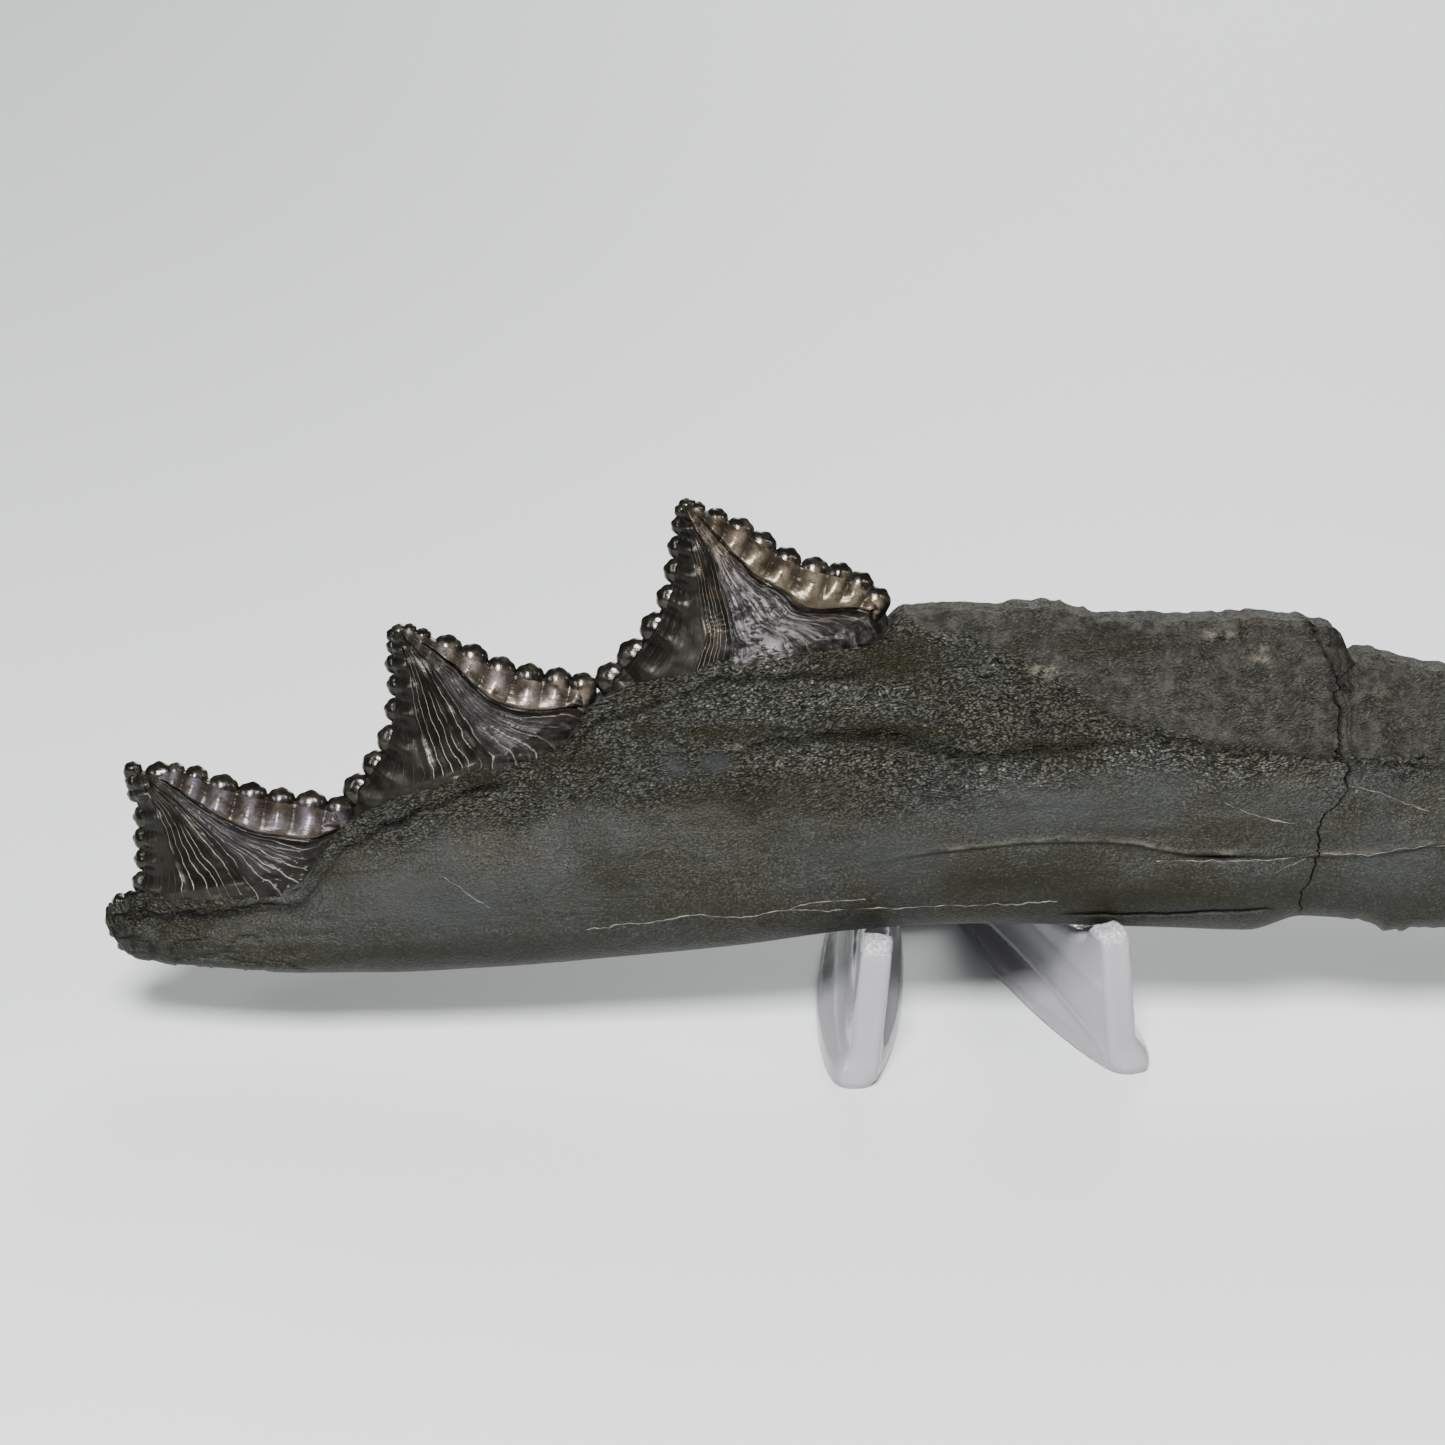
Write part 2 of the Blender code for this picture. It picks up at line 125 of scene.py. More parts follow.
def along_points(points: Array, t: Array) -> Array:
    """Rounded path through points.

    Args:
        points: (n, 2) places on the path.
        t: positions on the path, where whole numbers are the points.

    Returns:
        (len(t), 2) places.
    """
    first = 2 * points[0] - points[1]
    last = 2 * points[-1] - points[-2]
    padded = np.vstack([first, points, last])
    at = np.clip(np.floor(t).astype(int), 0, len(points) - 2)
    s = (t - at)[:, None]
    p0, p1, p2, p3 = (padded[at + k] for k in range(4))
    return 0.5 * (2 * p1 + (p2 - p0) * s + (2 * p0 - 5 * p1 + 4 * p2 - p3) * s ** 2
                  + (3 * p1 - p0 - 3 * p2 + p3) * s ** 3)


def as_seen(u: Array, v: Array, half: Array) -> tuple[Array, Array]:
    """Where the camera sees a place that stands out of the jaw's middle plane.

    Args:
        u: place along the jaw.
        v: place up the jaw.
        half: how far it stands out of the middle plane.

    Returns:
        The place on the middle plane that it covers in the picture.
    """
    grow = half / CAMERA_DISTANCE
    return u + (u - AXIS[0]) * grow, v + (v - AXIS[1]) * grow - PARALLAX * half


class Grit:
    """Smooth seeded noise, read at many places at once."""

    SIZE = 64

    def __init__(self, seed: int) -> None:
        """Fills the table that the noise is read from."""
        self.table = np.random.default_rng(seed).random((self.SIZE,) * 3) * 2 - 1

    def at(self, x: Array, y: Array, z: Array | float = 0.0) -> Array:
        """Reads the noise, whose features are about one unit wide.

        Args:
            x: first coordinates.
            y: second coordinates.
            z: third coordinates, or one for all.

        Returns:
            Values between -1 and 1.
        """
        x, y, z = np.broadcast_arrays(x, y, z)
        cells = [np.floor(c).astype(int) for c in (x, y, z)]
        parts = [smooth_step(c - cell) for c, cell in zip((x, y, z), cells)]
        total = np.zeros(x.shape)
        for i in (0, 1):
            for j in (0, 1):
                for k in (0, 1):
                    weight = np.ones(x.shape)
                    for corner, part in zip((i, j, k), parts):
                        weight = weight * (part if corner else 1 - part)
                    spots = [(cell + corner) % self.SIZE for cell, corner in zip(cells, (i, j, k))]
                    total += weight * self.table[tuple(spots)]
        return total

    def layers(self, x: Array, y: Array, z: Array | float = 0.0, count: int = 3) -> Array:
        """Returns a sum of ever finer and weaker noise."""
        return sum(self.at(x * 2 ** n + 7.3 * n, y * 2 ** n, z + 3.1 * n) * 0.5 ** n
                   for n in range(count))

    def ridges(self, x: Array, y: Array, z: Array | float = 0.0) -> Array:
        """Returns creased noise between 0 and 1, with sharp crests."""
        return 1 - np.abs(self.at(x, y, z)) * 2


@dataclass(frozen=True)
class JawPlane:
    """Where the jaw's own plane lies in the frame."""

    lean: float = math.radians(10.0)
    tip_u: float = -134.6
    keel_y: float = -21.74
    keel_z: float = 19.0

    def matrix(self) -> Matrix:
        """Works out where the jaw's plane lies.

        Returns:
            The matrix from that plane to the frame, both in metres.
        """
        origin_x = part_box("jaw")[0][0] - self.tip_u * MM
        place = Matrix.Translation((origin_x, self.keel_y * MM, self.keel_z * MM))
        return place @ Matrix.Rotation(-self.lean, 4, "X")

    def settle(self, obj: Object) -> Object:
        """Moves an object's mesh, not the object, to its place in the frame.

        Args:
            obj: lies in the jaw's own plane.

        Returns:
            The same object.
        """
        obj.data.transform(self.matrix())
        obj.data.update()
        return obj


def link(name: str, data: bpy.types.ID) -> Object:
    """Puts a mesh, a lamp or a camera in the scene.

    Args:
        name: of the object.
        data: what it holds.

    Returns:
        The new object.
    """
    obj = bpy.data.objects.new(name, data)
    bpy.context.scene.collection.objects.link(obj)
    return obj


def set_field(mesh: Mesh, name: str, values: Array | list[float]) -> None:
    """Gives a mesh a field with one value for each of its points."""
    made = mesh.attributes.new(name, "FLOAT", "POINT")
    made.data.foreach_set("value", np.array(values, dtype=np.float32))


def face_outwards(mesh: Mesh) -> None:
    """Turns a closed mesh's faces outwards.

    Args:
        mesh: is changed.
    """
    bm = bmesh.new()
    bm.from_mesh(mesh)
    bmesh.ops.recalc_face_normals(bm, faces=bm.faces)
    bm.to_mesh(mesh)
    bm.free()


def round_edges(bm: bmesh.types.BMesh, edges: list, radius: float) -> None:
    """Rounds some edges of a solid by a radius in millimetres."""
    bmesh.ops.bevel(bm, geom=edges, offset=radius * MM, segments=3, affect="EDGES", profile=0.5)


def read_points(mesh: Mesh) -> Array:
    """Reads a mesh's points.

    Args:
        mesh: is read.

    Returns:
        One row for each point.
    """
    points = np.zeros(len(mesh.vertices) * 3)
    mesh.vertices.foreach_get("co", points)
    return points.reshape(-1, 3)


def write_points(mesh: Mesh, points: Array) -> None:
    """Moves a mesh's points to new places."""
    mesh.vertices.foreach_set("co", points.ravel())
    mesh.update()


def plain_mesh(obj: Object) -> Mesh:
    """Carries out an object's modifiers and removes the object.

    Args:
        obj: carries the modifiers.

    Returns:
        The plain mesh that they make.
    """
    graph = bpy.context.evaluated_depsgraph_get()
    mesh = bpy.data.meshes.new_from_object(obj.evaluated_get(graph), depsgraph=graph)
    obj.modifiers.clear()
    bpy.data.objects.remove(obj, do_unlink=True)
    return mesh


@dataclass
class Skin:
    """A closed tube of points: stations along it, places round it, with a cap at either end."""

    points: Array
    along: Array
    across: Array
    fields: dict[str, Array] = field(default_factory=dict)

    def build(self, name: str) -> Object:
        """Makes the mesh.

        Args:
            name: of the object.

        Returns:
            A smooth closed object in the jaw's plane, with a UV map and its fields as attributes.
        """
        rows, cols, _ = self.points.shape
        flat = self.points.reshape(-1, 3) * MM
        caps = np.array([self.points[0].mean(axis=0), self.points[-1].mean(axis=0)]) * MM
        index = np.arange(rows * cols).reshape(rows, cols)
        after = np.roll(index, -1, axis=1)
        quads = np.stack([index[:-1], after[:-1], after[1:], index[1:]], axis=-1).reshape(-1, 4)
        first = [(b, a, rows * cols) for a, b in zip(index[0], after[0])]
        last = [(a, b, rows * cols + 1) for a, b in zip(index[-1], after[-1])]
        mesh = bpy.data.meshes.new(name)
        mesh.from_pydata(np.vstack([flat, caps]).tolist(), [], quads.tolist() + first + last)
        corners = [np.stack([a[:-1, :-1], a[:-1, 1:], a[1:, 1:], a[1:, :-1]], -1)
                   for a in (self.along, self.across)]
        body = np.stack(corners, -1).reshape(-1, 2)
        uv = np.zeros((len(mesh.loops), 2))
        uv[:len(body)] = body
        mesh.uv_layers.new(name="flow").data.foreach_set("uv", uv.ravel())
        for key, values in self.fields.items():
            ends = np.array([values[0].mean(), values[-1].mean()])
            set_field(mesh, key, np.concatenate([values.ravel(), ends]))
        face_outwards(mesh)
        mesh.shade_smooth()
        return link(name, mesh)


class Nodes:
    """Short words for building one node tree."""

    # A colour mix shares its node with other kinds, so its sockets are known by number.
    COLOR_MIX_INPUTS = (0, 6, 7)
    COLOR_MIX_OUTPUT = 2

    def __init__(self, tree: bpy.types.NodeTree) -> None:
        """Keeps the tree."""
        self.tree = tree

    def add(self, kind: str, inputs: dict | None = None, **settings: object) -> bpy.types.Node:
        """Adds a node.

        Args:
            kind: Blender's name of the node type.
            inputs: socket name or number to a value or to another node's output.
            **settings: properties of the node itself.

        Returns:
            The new node.
        """
        node = self.tree.nodes.new(kind)
        for key, value in settings.items():
            setattr(node, key, value)
        for key, value in (inputs or {}).items():
            if isinstance(value, Socket):
                self.tree.links.new(value, node.inputs[key])
            else:
                node.inputs[key].default_value = value
        return node

    def math(self, operation: str, *values: object, clamp: bool = False) -> Socket:
        """Returns the result of a sum of one, two or three values."""
        node = self.add("ShaderNodeMath", dict(enumerate(values)), operation=operation, use_clamp=clamp)
        return node.outputs[0]

    def times(self, first: object, second: object, clamp: bool = False) -> Socket:
        """Returns the product of two values."""
        return self.math("MULTIPLY", first, second, clamp=clamp)

    def plus(self, first: object, second: object, clamp: bool = False) -> Socket:
        """Returns the sum of two values."""
        return self.math("ADD", first, second, clamp=clamp)

    def minus(self, first: object, second: object, clamp: bool = False) -> Socket:
        """Returns what is left of the first value after the second."""
        return self.math("SUBTRACT", first, second, clamp=clamp)

    def noise(self, vector: Socket, scale: float, detail: float = 3.0,
              roughness: float = 0.5, distortion: float = 0.0) -> Socket:
        """Returns soft noise between 0 and 1."""
        inputs = {"Vector": vector, "Scale": scale, "Detail": detail, "Roughness": roughness,
                  "Distortion": distortion}
        return self.add("ShaderNodeTexNoise", inputs).outputs["Fac"]

    def comb(self, value: Socket, count: float) -> Socket:
        """Returns the distance to the nearest of so many uneven lines across a value."""
        cells = self.add("ShaderNodeTexVoronoi", {"W": self.times(value, count), "Scale": 1.0},
                         voronoi_dimensions="1D", feature="DISTANCE_TO_EDGE")
        return cells.outputs["Distance"]

    def stretch(self, vector: Socket, x: float, y: float) -> Socket:
        """Returns coordinates scaled by a different amount on each axis."""
        return self.add("ShaderNodeMapping", {"Vector": vector, "Scale": (x, y, 1.0)}).outputs[0]

    def ramp(self, value: object, low: float, high: float, start: float = 0.0,
             end: float = 1.0) -> Socket:
        """Returns a value carried softly from one range to another."""
        inputs = {"Value": value, "From Min": low, "From Max": high, "To Min": start, "To Max": end}
        return self.add("ShaderNodeMapRange", inputs, interpolation_type="SMOOTHSTEP").outputs[0]

    def blend(self, share: object, first: object, second: object) -> Socket:
        """Mixes two colours.

        Args:
            share: of the second colour.
            first: a socket, or a colour of three numbers.
            second: likewise.

        Returns:
            The mixed colour.
        """
        values = (share, first, second)
        whole = [(*value, 1.0) if isinstance(value, tuple) else value for value in values]
        node = self.add("ShaderNodeMix", dict(zip(self.COLOR_MIX_INPUTS, whole)), data_type="RGBA")
        return node.outputs[self.COLOR_MIX_OUTPUT]

    def attribute(self, name: str) -> Socket:
        """Returns a mesh's own field."""
        return self.add("ShaderNodeAttribute", attribute_name=name).outputs["Fac"]

    def space(self) -> Socket:
        """Returns the object's own coordinates, in metres."""
        return self.add("ShaderNodeTexCoord").outputs["Object"]

    def flow(self) -> Socket:
        """Returns the coordinates that follow a skin: along it and round it."""
        return self.add("ShaderNodeUVMap", uv_map="flow").outputs[0]

    def drive(self, shader: bpy.types.Node, name: str, value: Socket) -> None:
        """Links a value to one of the shader's inputs."""
        self.tree.links.new(value, shader.inputs[name])

    def emboss(self, shader: bpy.types.Node, height: Socket, strength: float,
               distance: float) -> None:
        """Gives the shader a fine relief."""
        inputs = {"Height": height, "Strength": strength, "Distance": distance}
        self.drive(shader, "Normal", self.add("ShaderNodeBump", inputs).outputs[0])


@dataclass(frozen=True)
class Finish:
    """A surface finish with one Principled shader."""

    name: str

    def start(self) -> tuple[Material, Nodes, bpy.types.Node]:
        """Starts a material.

        Returns:
            The new material, its node words and its shader.
        """
        material = bpy.data.materials.new(self.name)
        material.use_nodes = True
        return material, Nodes(material.node_tree), material.node_tree.nodes["Principled BSDF"]


@dataclass(frozen=True)
class RootFinish(Finish):
    """Mineralised root: pebbly grain above, satin streaks below, dust, stains, weathered parts, painted
    shade and painted highlights.
    """

    name: str = "mineral_root"
    # The deepest colour is painted shade in creases, pebble valleys and cavities, and also the colour of
    # dark sand specks.
    deep: Color = (0.0012, 0.0010, 0.0006)
    body: Color = (0.0106, 0.0099, 0.0060)
    satin: Color = (0.0140, 0.0152, 0.0138)
    # Light grains and streaks, and painted highlights on pebble tops.
    light_grain_and_highlight: Color = (0.052, 0.0515, 0.0415)
    # Painted glints on pebble tops.
    glint: Color = (0.19, 0.185, 0.160)
    weathered: Color = (0.037, 0.0352, 0.0305)
    flaked: Color = (0.0105, 0.0098, 0.0080)
    dust: Color = (0.0165, 0.0180, 0.0182)
    olive: Color = (0.0064, 0.0061, 0.0024)
    pale: Color = (0.080, 0.071, 0.056)
    roughness: float = 0.46

    def make(self) -> Material:
        """Builds the shader.

        Returns:
            The material.
        """
        material, n, shader = self.start()
        flow = n.flow()
        space = n.space()
        grain = n.attribute("grain")
        # Where the face is painted lighter: a lit strip under the upper ledge, and gleams above it and
        # under the crowns.
        bright = n.attribute("bright")
        matte = n.attribute("matte")
        waver = n.noise(flow, 4.0, 3.0)
        shift = n.add("ShaderNodeCombineXYZ", {"X": n.times(waver, 0.10),
                                               "Y": n.times(waver, 0.16)}).outputs[0]
        bent = n.add("ShaderNodeVectorMath", {0: flow, 1: shift}, operation="ADD").outputs[0]
        beads = n.add("ShaderNodeTexVoronoi", {"Vector": n.stretch(bent, 18.0, 34.0), "Scale": 1.0})
        pebble = n.minus(1.0, beads.outputs["Distance"], clamp=True)
        chance = n.add("ShaderNodeSeparateColor", {0: beads.outputs["Color"]}).outputs[0]
        creases = n.noise(n.stretch(bent, 5.0, 16.0), 1.0, 4.0, 0.6, 0.6)
        streaks = n.noise(n.stretch(flow, 2.4, 40.0), 1.0, 5.0, 0.66)
        speck = n.noise(space, 2600.0, 2.0, 0.6)
        sand = n.noise(space, 2900.0, 2.0, 0.7)
        weight = n.plus(0.20, n.times(grain, 0.80))
        blotch = n.noise(space, 95.0, 5.0, 0.62)
        flakes = n.noise(space, 460.0, 5.0, 0.70)

        # From the ground colour up: streaks, sand, painted shade in creases and round pebbles, painted
        # highlights and glints on pebble tops, the flaked part, stains, dust and painted shade in
        # cavities.
        color = n.blend(n.ramp(blotch, 0.40, 0.62), self.body, self.satin)
        color = n.blend(n.times(n.ramp(streaks, 0.58, 0.80), 0.30), color, self.light_grain_and_highlight)
        color = n.blend(n.times(n.ramp(sand, 0.48, 0.36), 0.45), color, self.deep)
        color = n.blend(n.times(n.ramp(sand, 0.52, 0.70), 0.55), color, self.light_grain_and_highlight)
        # Painted shade in the creases and round the pebbles.
        color = n.blend(n.times(n.ramp(creases, 0.50, 0.34), weight), color, self.deep)
        rims = n.times(n.times(n.ramp(pebble, 0.52, 0.30), weight), 0.60)
        color = n.blend(rims, color, self.deep)
        # Painted highlights on the pebble tops and rare painted glints, stronger where the face is
        # painted lighter.
        tops = n.times(n.ramp(pebble, 0.42, 0.80), n.ramp(creases, 0.28, 0.48))
        lit = n.times(tops, weight, clamp=True)
        share = n.plus(n.times(chance, 0.55), 0.38)
        share = n.plus(share, n.times(bright, 0.55), clamp=True)
        color = n.blend(n.times(lit, share), color, self.light_grain_and_highlight)
        rare = n.ramp(n.plus(chance, n.times(bright, 0.18)), 0.90, 1.06)
        sparkle = n.times(n.times(rare, lit), n.ramp(blotch, 0.36, 0.56), clamp=True)
        color = n.blend(n.times(sparkle, 0.55), color, self.glint)
        stone = n.blend(n.ramp(flakes, 0.34, 0.70), self.flaked, self.weathered)
        color = n.blend(n.times(matte, 0.85), color, stone)
        stained = n.times(n.attribute(Tint.OLIVE.value), n.ramp(pebble, 0.95, 0.45, 0.45, 0.95))
        color = n.blend(stained, color, self.olive)
        dusty = n.times(n.attribute(Tint.DUST.value), n.ramp(streaks, 0.15, 0.7, 0.45, 0.95))
        color = n.blend(dusty, color, self.dust)
        chalk = n.times(n.attribute(Tint.PALE.value), n.ramp(flakes, 0.40, 0.62))
        color = n.blend(chalk, color, self.pale)
        # Painted shade in cracks, slits and recesses.
        color = n.blend(n.attribute("cavity"), color, self.deep)
        n.drive(shader, "Base Color", color)

        rough = n.plus(self.roughness, n.times(dusty, 0.16))
        rough = n.minus(rough, n.times(lit, 0.14))
        rough = n.plus(rough, n.times(n.plus(chalk, matte), 0.24), clamp=True)
        n.drive(shader, "Roughness", rough)
        shader.inputs["Specular IOR Level"].default_value = 0.10

        leather = n.times(n.plus(pebble, n.times(creases, 1.2)), weight)
        leather = n.times(leather, 1.5)
        silk = n.plus(n.times(streaks, 0.08), n.times(sand, 0.42))
        height = n.plus(n.plus(leather, silk), n.times(speck, 0.20))
        height = n.plus(height, n.times(n.times(flakes, matte), 3.4))
        n.emboss(shader, height, 0.9, 0.00030)
        return material


@dataclass(frozen=True)
class EnamelFinish(Finish):
    """Glossy graphite enamel: dark front, black wedge with pale cracks, silvery lobe partly painted as
    reflection, amber rear zone with painted highlights and shade.
    """

    name: str = "graphite_enamel"
    wedge: tuple[float, float] = (0.30, 0.55)
    lobe: tuple[float, float] = (0.55, 0.75)
    dark: Color = (0.0075, 0.0070, 0.0052)
    black: Color = (0.0036, 0.0030, 0.0022)
    brown: Color = (0.0120, 0.0072, 0.0034)
    silver: Color = (0.155, 0.148, 0.158)
    young: Color = (0.110, 0.086, 0.060)
    lit_band: Color = (0.17, 0.130, 0.085)
    cloud: Color = (0.020, 0.0185, 0.0140)
    lobe_dark: Color = (0.007, 0.006, 0.006)
    furrow: Color = (0.006, 0.0048, 0.0035)
    under_band: Color = (0.030, 0.023, 0.015)
    hem: Color = (0.10, 0.095, 0.09)
    skirt: Color = (0.0125, 0.0115, 0.0085)
    crack: Color = (0.004, 0.003, 0.002)
    vein: Color = (0.24, 0.225, 0.175)
    lobe_lines: float = 0.10
    lobe_rough: float = 0.14
    lines: float = 26.0
    splits: float = 29.0
    metallic: float = 0.50

    def zone(self, n: Nodes, fan: Socket, span: tuple[float, float],
             soft: float = 0.02) -> Socket:
        """Returns 1 inside a span of the fan and 0 outside."""
        rise = n.ramp(fan, span[0] - soft, span[0] + soft)
        return n.times(rise, n.ramp(fan, span[1] + soft, span[1] - soft))

    def make(self) -> Material:
        """Builds the shader.

        Returns:
            The material.
        """
        material, n, shader = self.start()
        flow = n.flow()
        space = n.space()
        roots = n.attribute("root_of_bead")
        depth = n.attribute("depth")
        mottle = n.noise(space, 380.0, 4.0, 0.6)
        waver = n.times(n.minus(n.noise(space, 190.0, 4.0), 0.5), 0.060)
        fan = n.plus(n.add("ShaderNodeSeparateXYZ", {0: flow}).outputs[0], waver)
        fibres = n.noise(n.stretch(flow, 62.0, 4.0), 1.0, 5.0, 0.68, 0.6)
        comb = n.comb(fan, self.lines)
        breaks = n.noise(n.stretch(flow, 9.0, 5.0), 1.0, 2.0)
        line = n.times(n.ramp(comb, 0.072, 0.018), n.ramp(breaks, 0.36, 0.56))
        split = n.comb(fan, self.splits)
        split = n.times(n.ramp(split, 0.13, 0.03), n.ramp(breaks, 0.58, 0.42))
        in_wedge = self.zone(n, fan, self.wedge)
        in_lobe = self.zone(n, fan, self.lobe)
        in_band = n.ramp(fan, self.lobe[1] - 0.01, self.lobe[1] + 0.03)
        hem = n.ramp(depth, 0.97, 1.06)

        # One colour for each zone of the fan, then what runs over all of them.
        clouds = n.noise(space, 170.0, 3.0)
        front = n.blend(n.times(n.ramp(clouds, 0.42, 0.70), 0.40), self.dark, self.cloud)
        wedge = n.blend(n.ramp(n.noise(flow, 9.0, 2.0), 0.50, 0.66), self.black, self.brown)
        scratched = n.noise(n.stretch(flow, 40.0, 20.0), 1.0, 5.0, 0.7, 1.4)
        shine = n.blend(n.ramp(depth, 0.34, 0.60), self.young, self.silver)
        # The lobe's light strands are partly the enamel's own silver and partly painted reflection of its
        # gloss.
        worn = n.times(n.ramp(fibres, 0.40, 0.56), n.ramp(scratched, 0.40, 0.56))
        worn = n.times(worn, n.ramp(mottle, 0.30, 0.58, 0.35, 1.25))
        lobe = n.blend(worn, self.lobe_dark, shine)
        strands = n.blend(n.ramp(fibres, 0.50, 0.66), self.furrow, shine)
        lobe = n.blend(n.times(n.attribute("tail"), 0.80), lobe, strands)
        lobe = n.blend(n.times(split, 0.85), lobe, self.crack)
        # Painted highlights on the denticles' roots, over the amber of the rear zone.
        sheen = n.times(n.ramp(mottle, 0.34, 0.62), n.ramp(roots, 0.0, 0.7, 0.22, 1.0))
        amber_and_highlight = n.blend(sheen, self.under_band, self.lit_band)
        streaks = n.blend(n.ramp(fibres, 0.46, 0.64), self.black, self.hem)
        amber_and_highlight = n.blend(n.times(hem, 0.9), amber_and_highlight, streaks)
        color = n.blend(in_wedge, front, wedge)
        color = n.blend(in_lobe, color, lobe)
        color = n.blend(in_band, color, amber_and_highlight)
        # Painted shade in the grooves between the denticles' roots.
        grooves = n.times(n.attribute("groove"), 0.85)
        color = n.blend(grooves, color, self.black)
        shown = n.plus(n.times(in_wedge, 0.62), n.times(in_lobe, self.lobe_lines))
        pale = n.times(line, n.plus(shown, 0.06))
        color = n.blend(pale, color, self.vein)
        # Painted shade along the crease at the lobe's rear edge.
        creased = n.math("ABSOLUTE", n.minus(fan, self.lobe[1]))
        crease = n.times(n.ramp(creased, 0.016, 0.004), n.ramp(depth, 0.12, 0.25))
        color = n.blend(crease, color, self.crack)
        skirt = n.times(hem, n.ramp(fan, 0.62, 0.42))
        color = n.blend(n.times(skirt, 0.85), color, self.skirt)
        n.drive(shader, "Base Color", color)

        in_front = n.ramp(fan, self.wedge[0] + 0.03, self.wedge[0] - 0.03)
        rough = n.plus(n.ramp(mottle, 0.2, 0.8, 0.16, 0.34), n.times(in_lobe, self.lobe_rough))
        rough = n.plus(rough, n.times(in_wedge, 0.08))
        rough = n.plus(rough, n.times(in_front, 0.10))
        rough = n.plus(rough, n.times(hem, 0.20), clamp=True)
        n.drive(shader, "Roughness", rough)
        shader.inputs["Metallic"].default_value = self.metallic
        shader.inputs["Specular IOR Level"].default_value = 0.15
        shader.inputs["Coat Weight"].default_value = 0.05
        shader.inputs["Coat Roughness"].default_value = 0.16
        height = n.times(fibres, n.plus(0.25, n.times(in_lobe, 1.1)))
        height = n.minus(height, n.times(line, 0.5))
        height = n.plus(height, n.times(mottle, 0.35))
        n.emboss(shader, height, 0.8, 0.00022)
        return material


@dataclass(frozen=True)
class DenticleFinish(Finish):
    """Enamel of the denticles: near black and glassy, with an amber tone and painted highlight at the
    roots of the rear ones.
    """

    name: str = "denticle_enamel"
    dark: Color = (0.007, 0.006, 0.0045)
    smoke: Color = (0.034, 0.029, 0.022)
    amber_and_highlight: Color = (0.26, 0.195, 0.12)

    def make(self) -> Material:
        """Builds the shader.

        Returns:
            The material.
        """
        material, n, shader = self.start()
        space = n.space()
        mottle = n.noise(space, 520.0, 4.0, 0.6)
        color = n.blend(n.ramp(mottle, 0.45, 0.75), self.dark, self.smoke)
        # Painted highlight at the base of the rear denticles, partly their own amber.
        base_highlight = n.times(n.ramp(n.attribute("rimward"), 0.70, 0.28), n.attribute("rear"))
        color = n.blend(n.times(base_highlight, n.ramp(mottle, 0.36, 0.58)), color, self.amber_and_highlight)
        n.drive(shader, "Base Color", color)
        n.drive(shader, "Roughness", n.ramp(mottle, 0.2, 0.8, 0.14, 0.32))
        shader.inputs["Metallic"].default_value = 0.5
        shader.inputs["Specular IOR Level"].default_value = 0.30
        shader.inputs["Coat Weight"].default_value = 0.25
        shader.inputs["Coat Roughness"].default_value = 0.12
        fine = n.noise(space, 1300.0, 3.0, 0.6)
        n.emboss(shader, fine, 0.5, 0.00014)
        return material


@dataclass(frozen=True)
class VeinFinish(Finish):
    """Chalky mineral in the hairline veins."""

    name: str = "vein_mineral"
    color: Color = (0.105, 0.097, 0.078)
    stain: Color = (0.020, 0.018, 0.014)

    def make(self) -> Material:
        """Builds the shader.

        Returns:
            The material.
        """
        material, n, shader = self.start()
        space = n.space()
        fleck = n.noise(space, 700.0, 3.0, 0.6)
        color = n.blend(n.ramp(fleck, 0.35, 0.7), self.stain, self.color)
        n.drive(shader, "Base Color", color)
        shader.inputs["Roughness"].default_value = 0.7
        return material


@dataclass(frozen=True)
class PlasticFinish(Finish):
    """Clear moulded plastic, slightly hazy, scuffed where the lips were ground."""

    name: str = "clear_moulded_plastic"
    tint: Color = (0.54, 0.532, 0.572)
    chalky: Color = (0.97, 0.97, 0.97)
    ior: float = 1.49
    clearness: float = 0.64

    def make(self) -> Material:
        """Builds the shader.

        Returns:
            The material.
        """
        material, n, shader = self.start()
        space = n.space()
        scuff = n.attribute("scuff")
        haze = n.noise(space, 160.0, 4.0, 0.6)
        grit = n.noise(space, 1500.0, 3.0, 0.7)
        specks = n.times(scuff, n.ramp(grit, 0.48, 0.58))
        n.drive(shader, "Base Color", n.blend(specks, self.tint, self.chalky))
        shader.inputs["IOR"].default_value = self.ior
        shader.inputs["Transmission Weight"].default_value = self.clearness
        rough = n.plus(n.ramp(haze, 0.3, 0.7, 0.10, 0.22), n.times(scuff, 0.2))
        n.drive(shader, "Roughness", rough)
        height = n.plus(n.times(haze, 0.3), n.times(grit, scuff))
        n.emboss(shader, height, 0.8, 0.0006)
        return material


@dataclass(frozen=True)
class Patch:
    """An oval mark on the root's shown face, in millimetres of its side view."""

    tint: Tint
    u: float
    v: float
    reach_u: float
    reach_v: float
    strength: float = 1.0
    height: float = 0.0

    def cover(self, u: Array, v: Array, wobble: Array) -> Array:
        """Returns how much of the mark lies at each place."""
        span = ((u - self.u) / self.reach_u) ** 2 + ((v - self.v) / self.reach_v) ** 2
        return self.strength * np.exp(-np.minimum(span * np.maximum(1 + 0.8 * wobble, 0.35), 20.0))


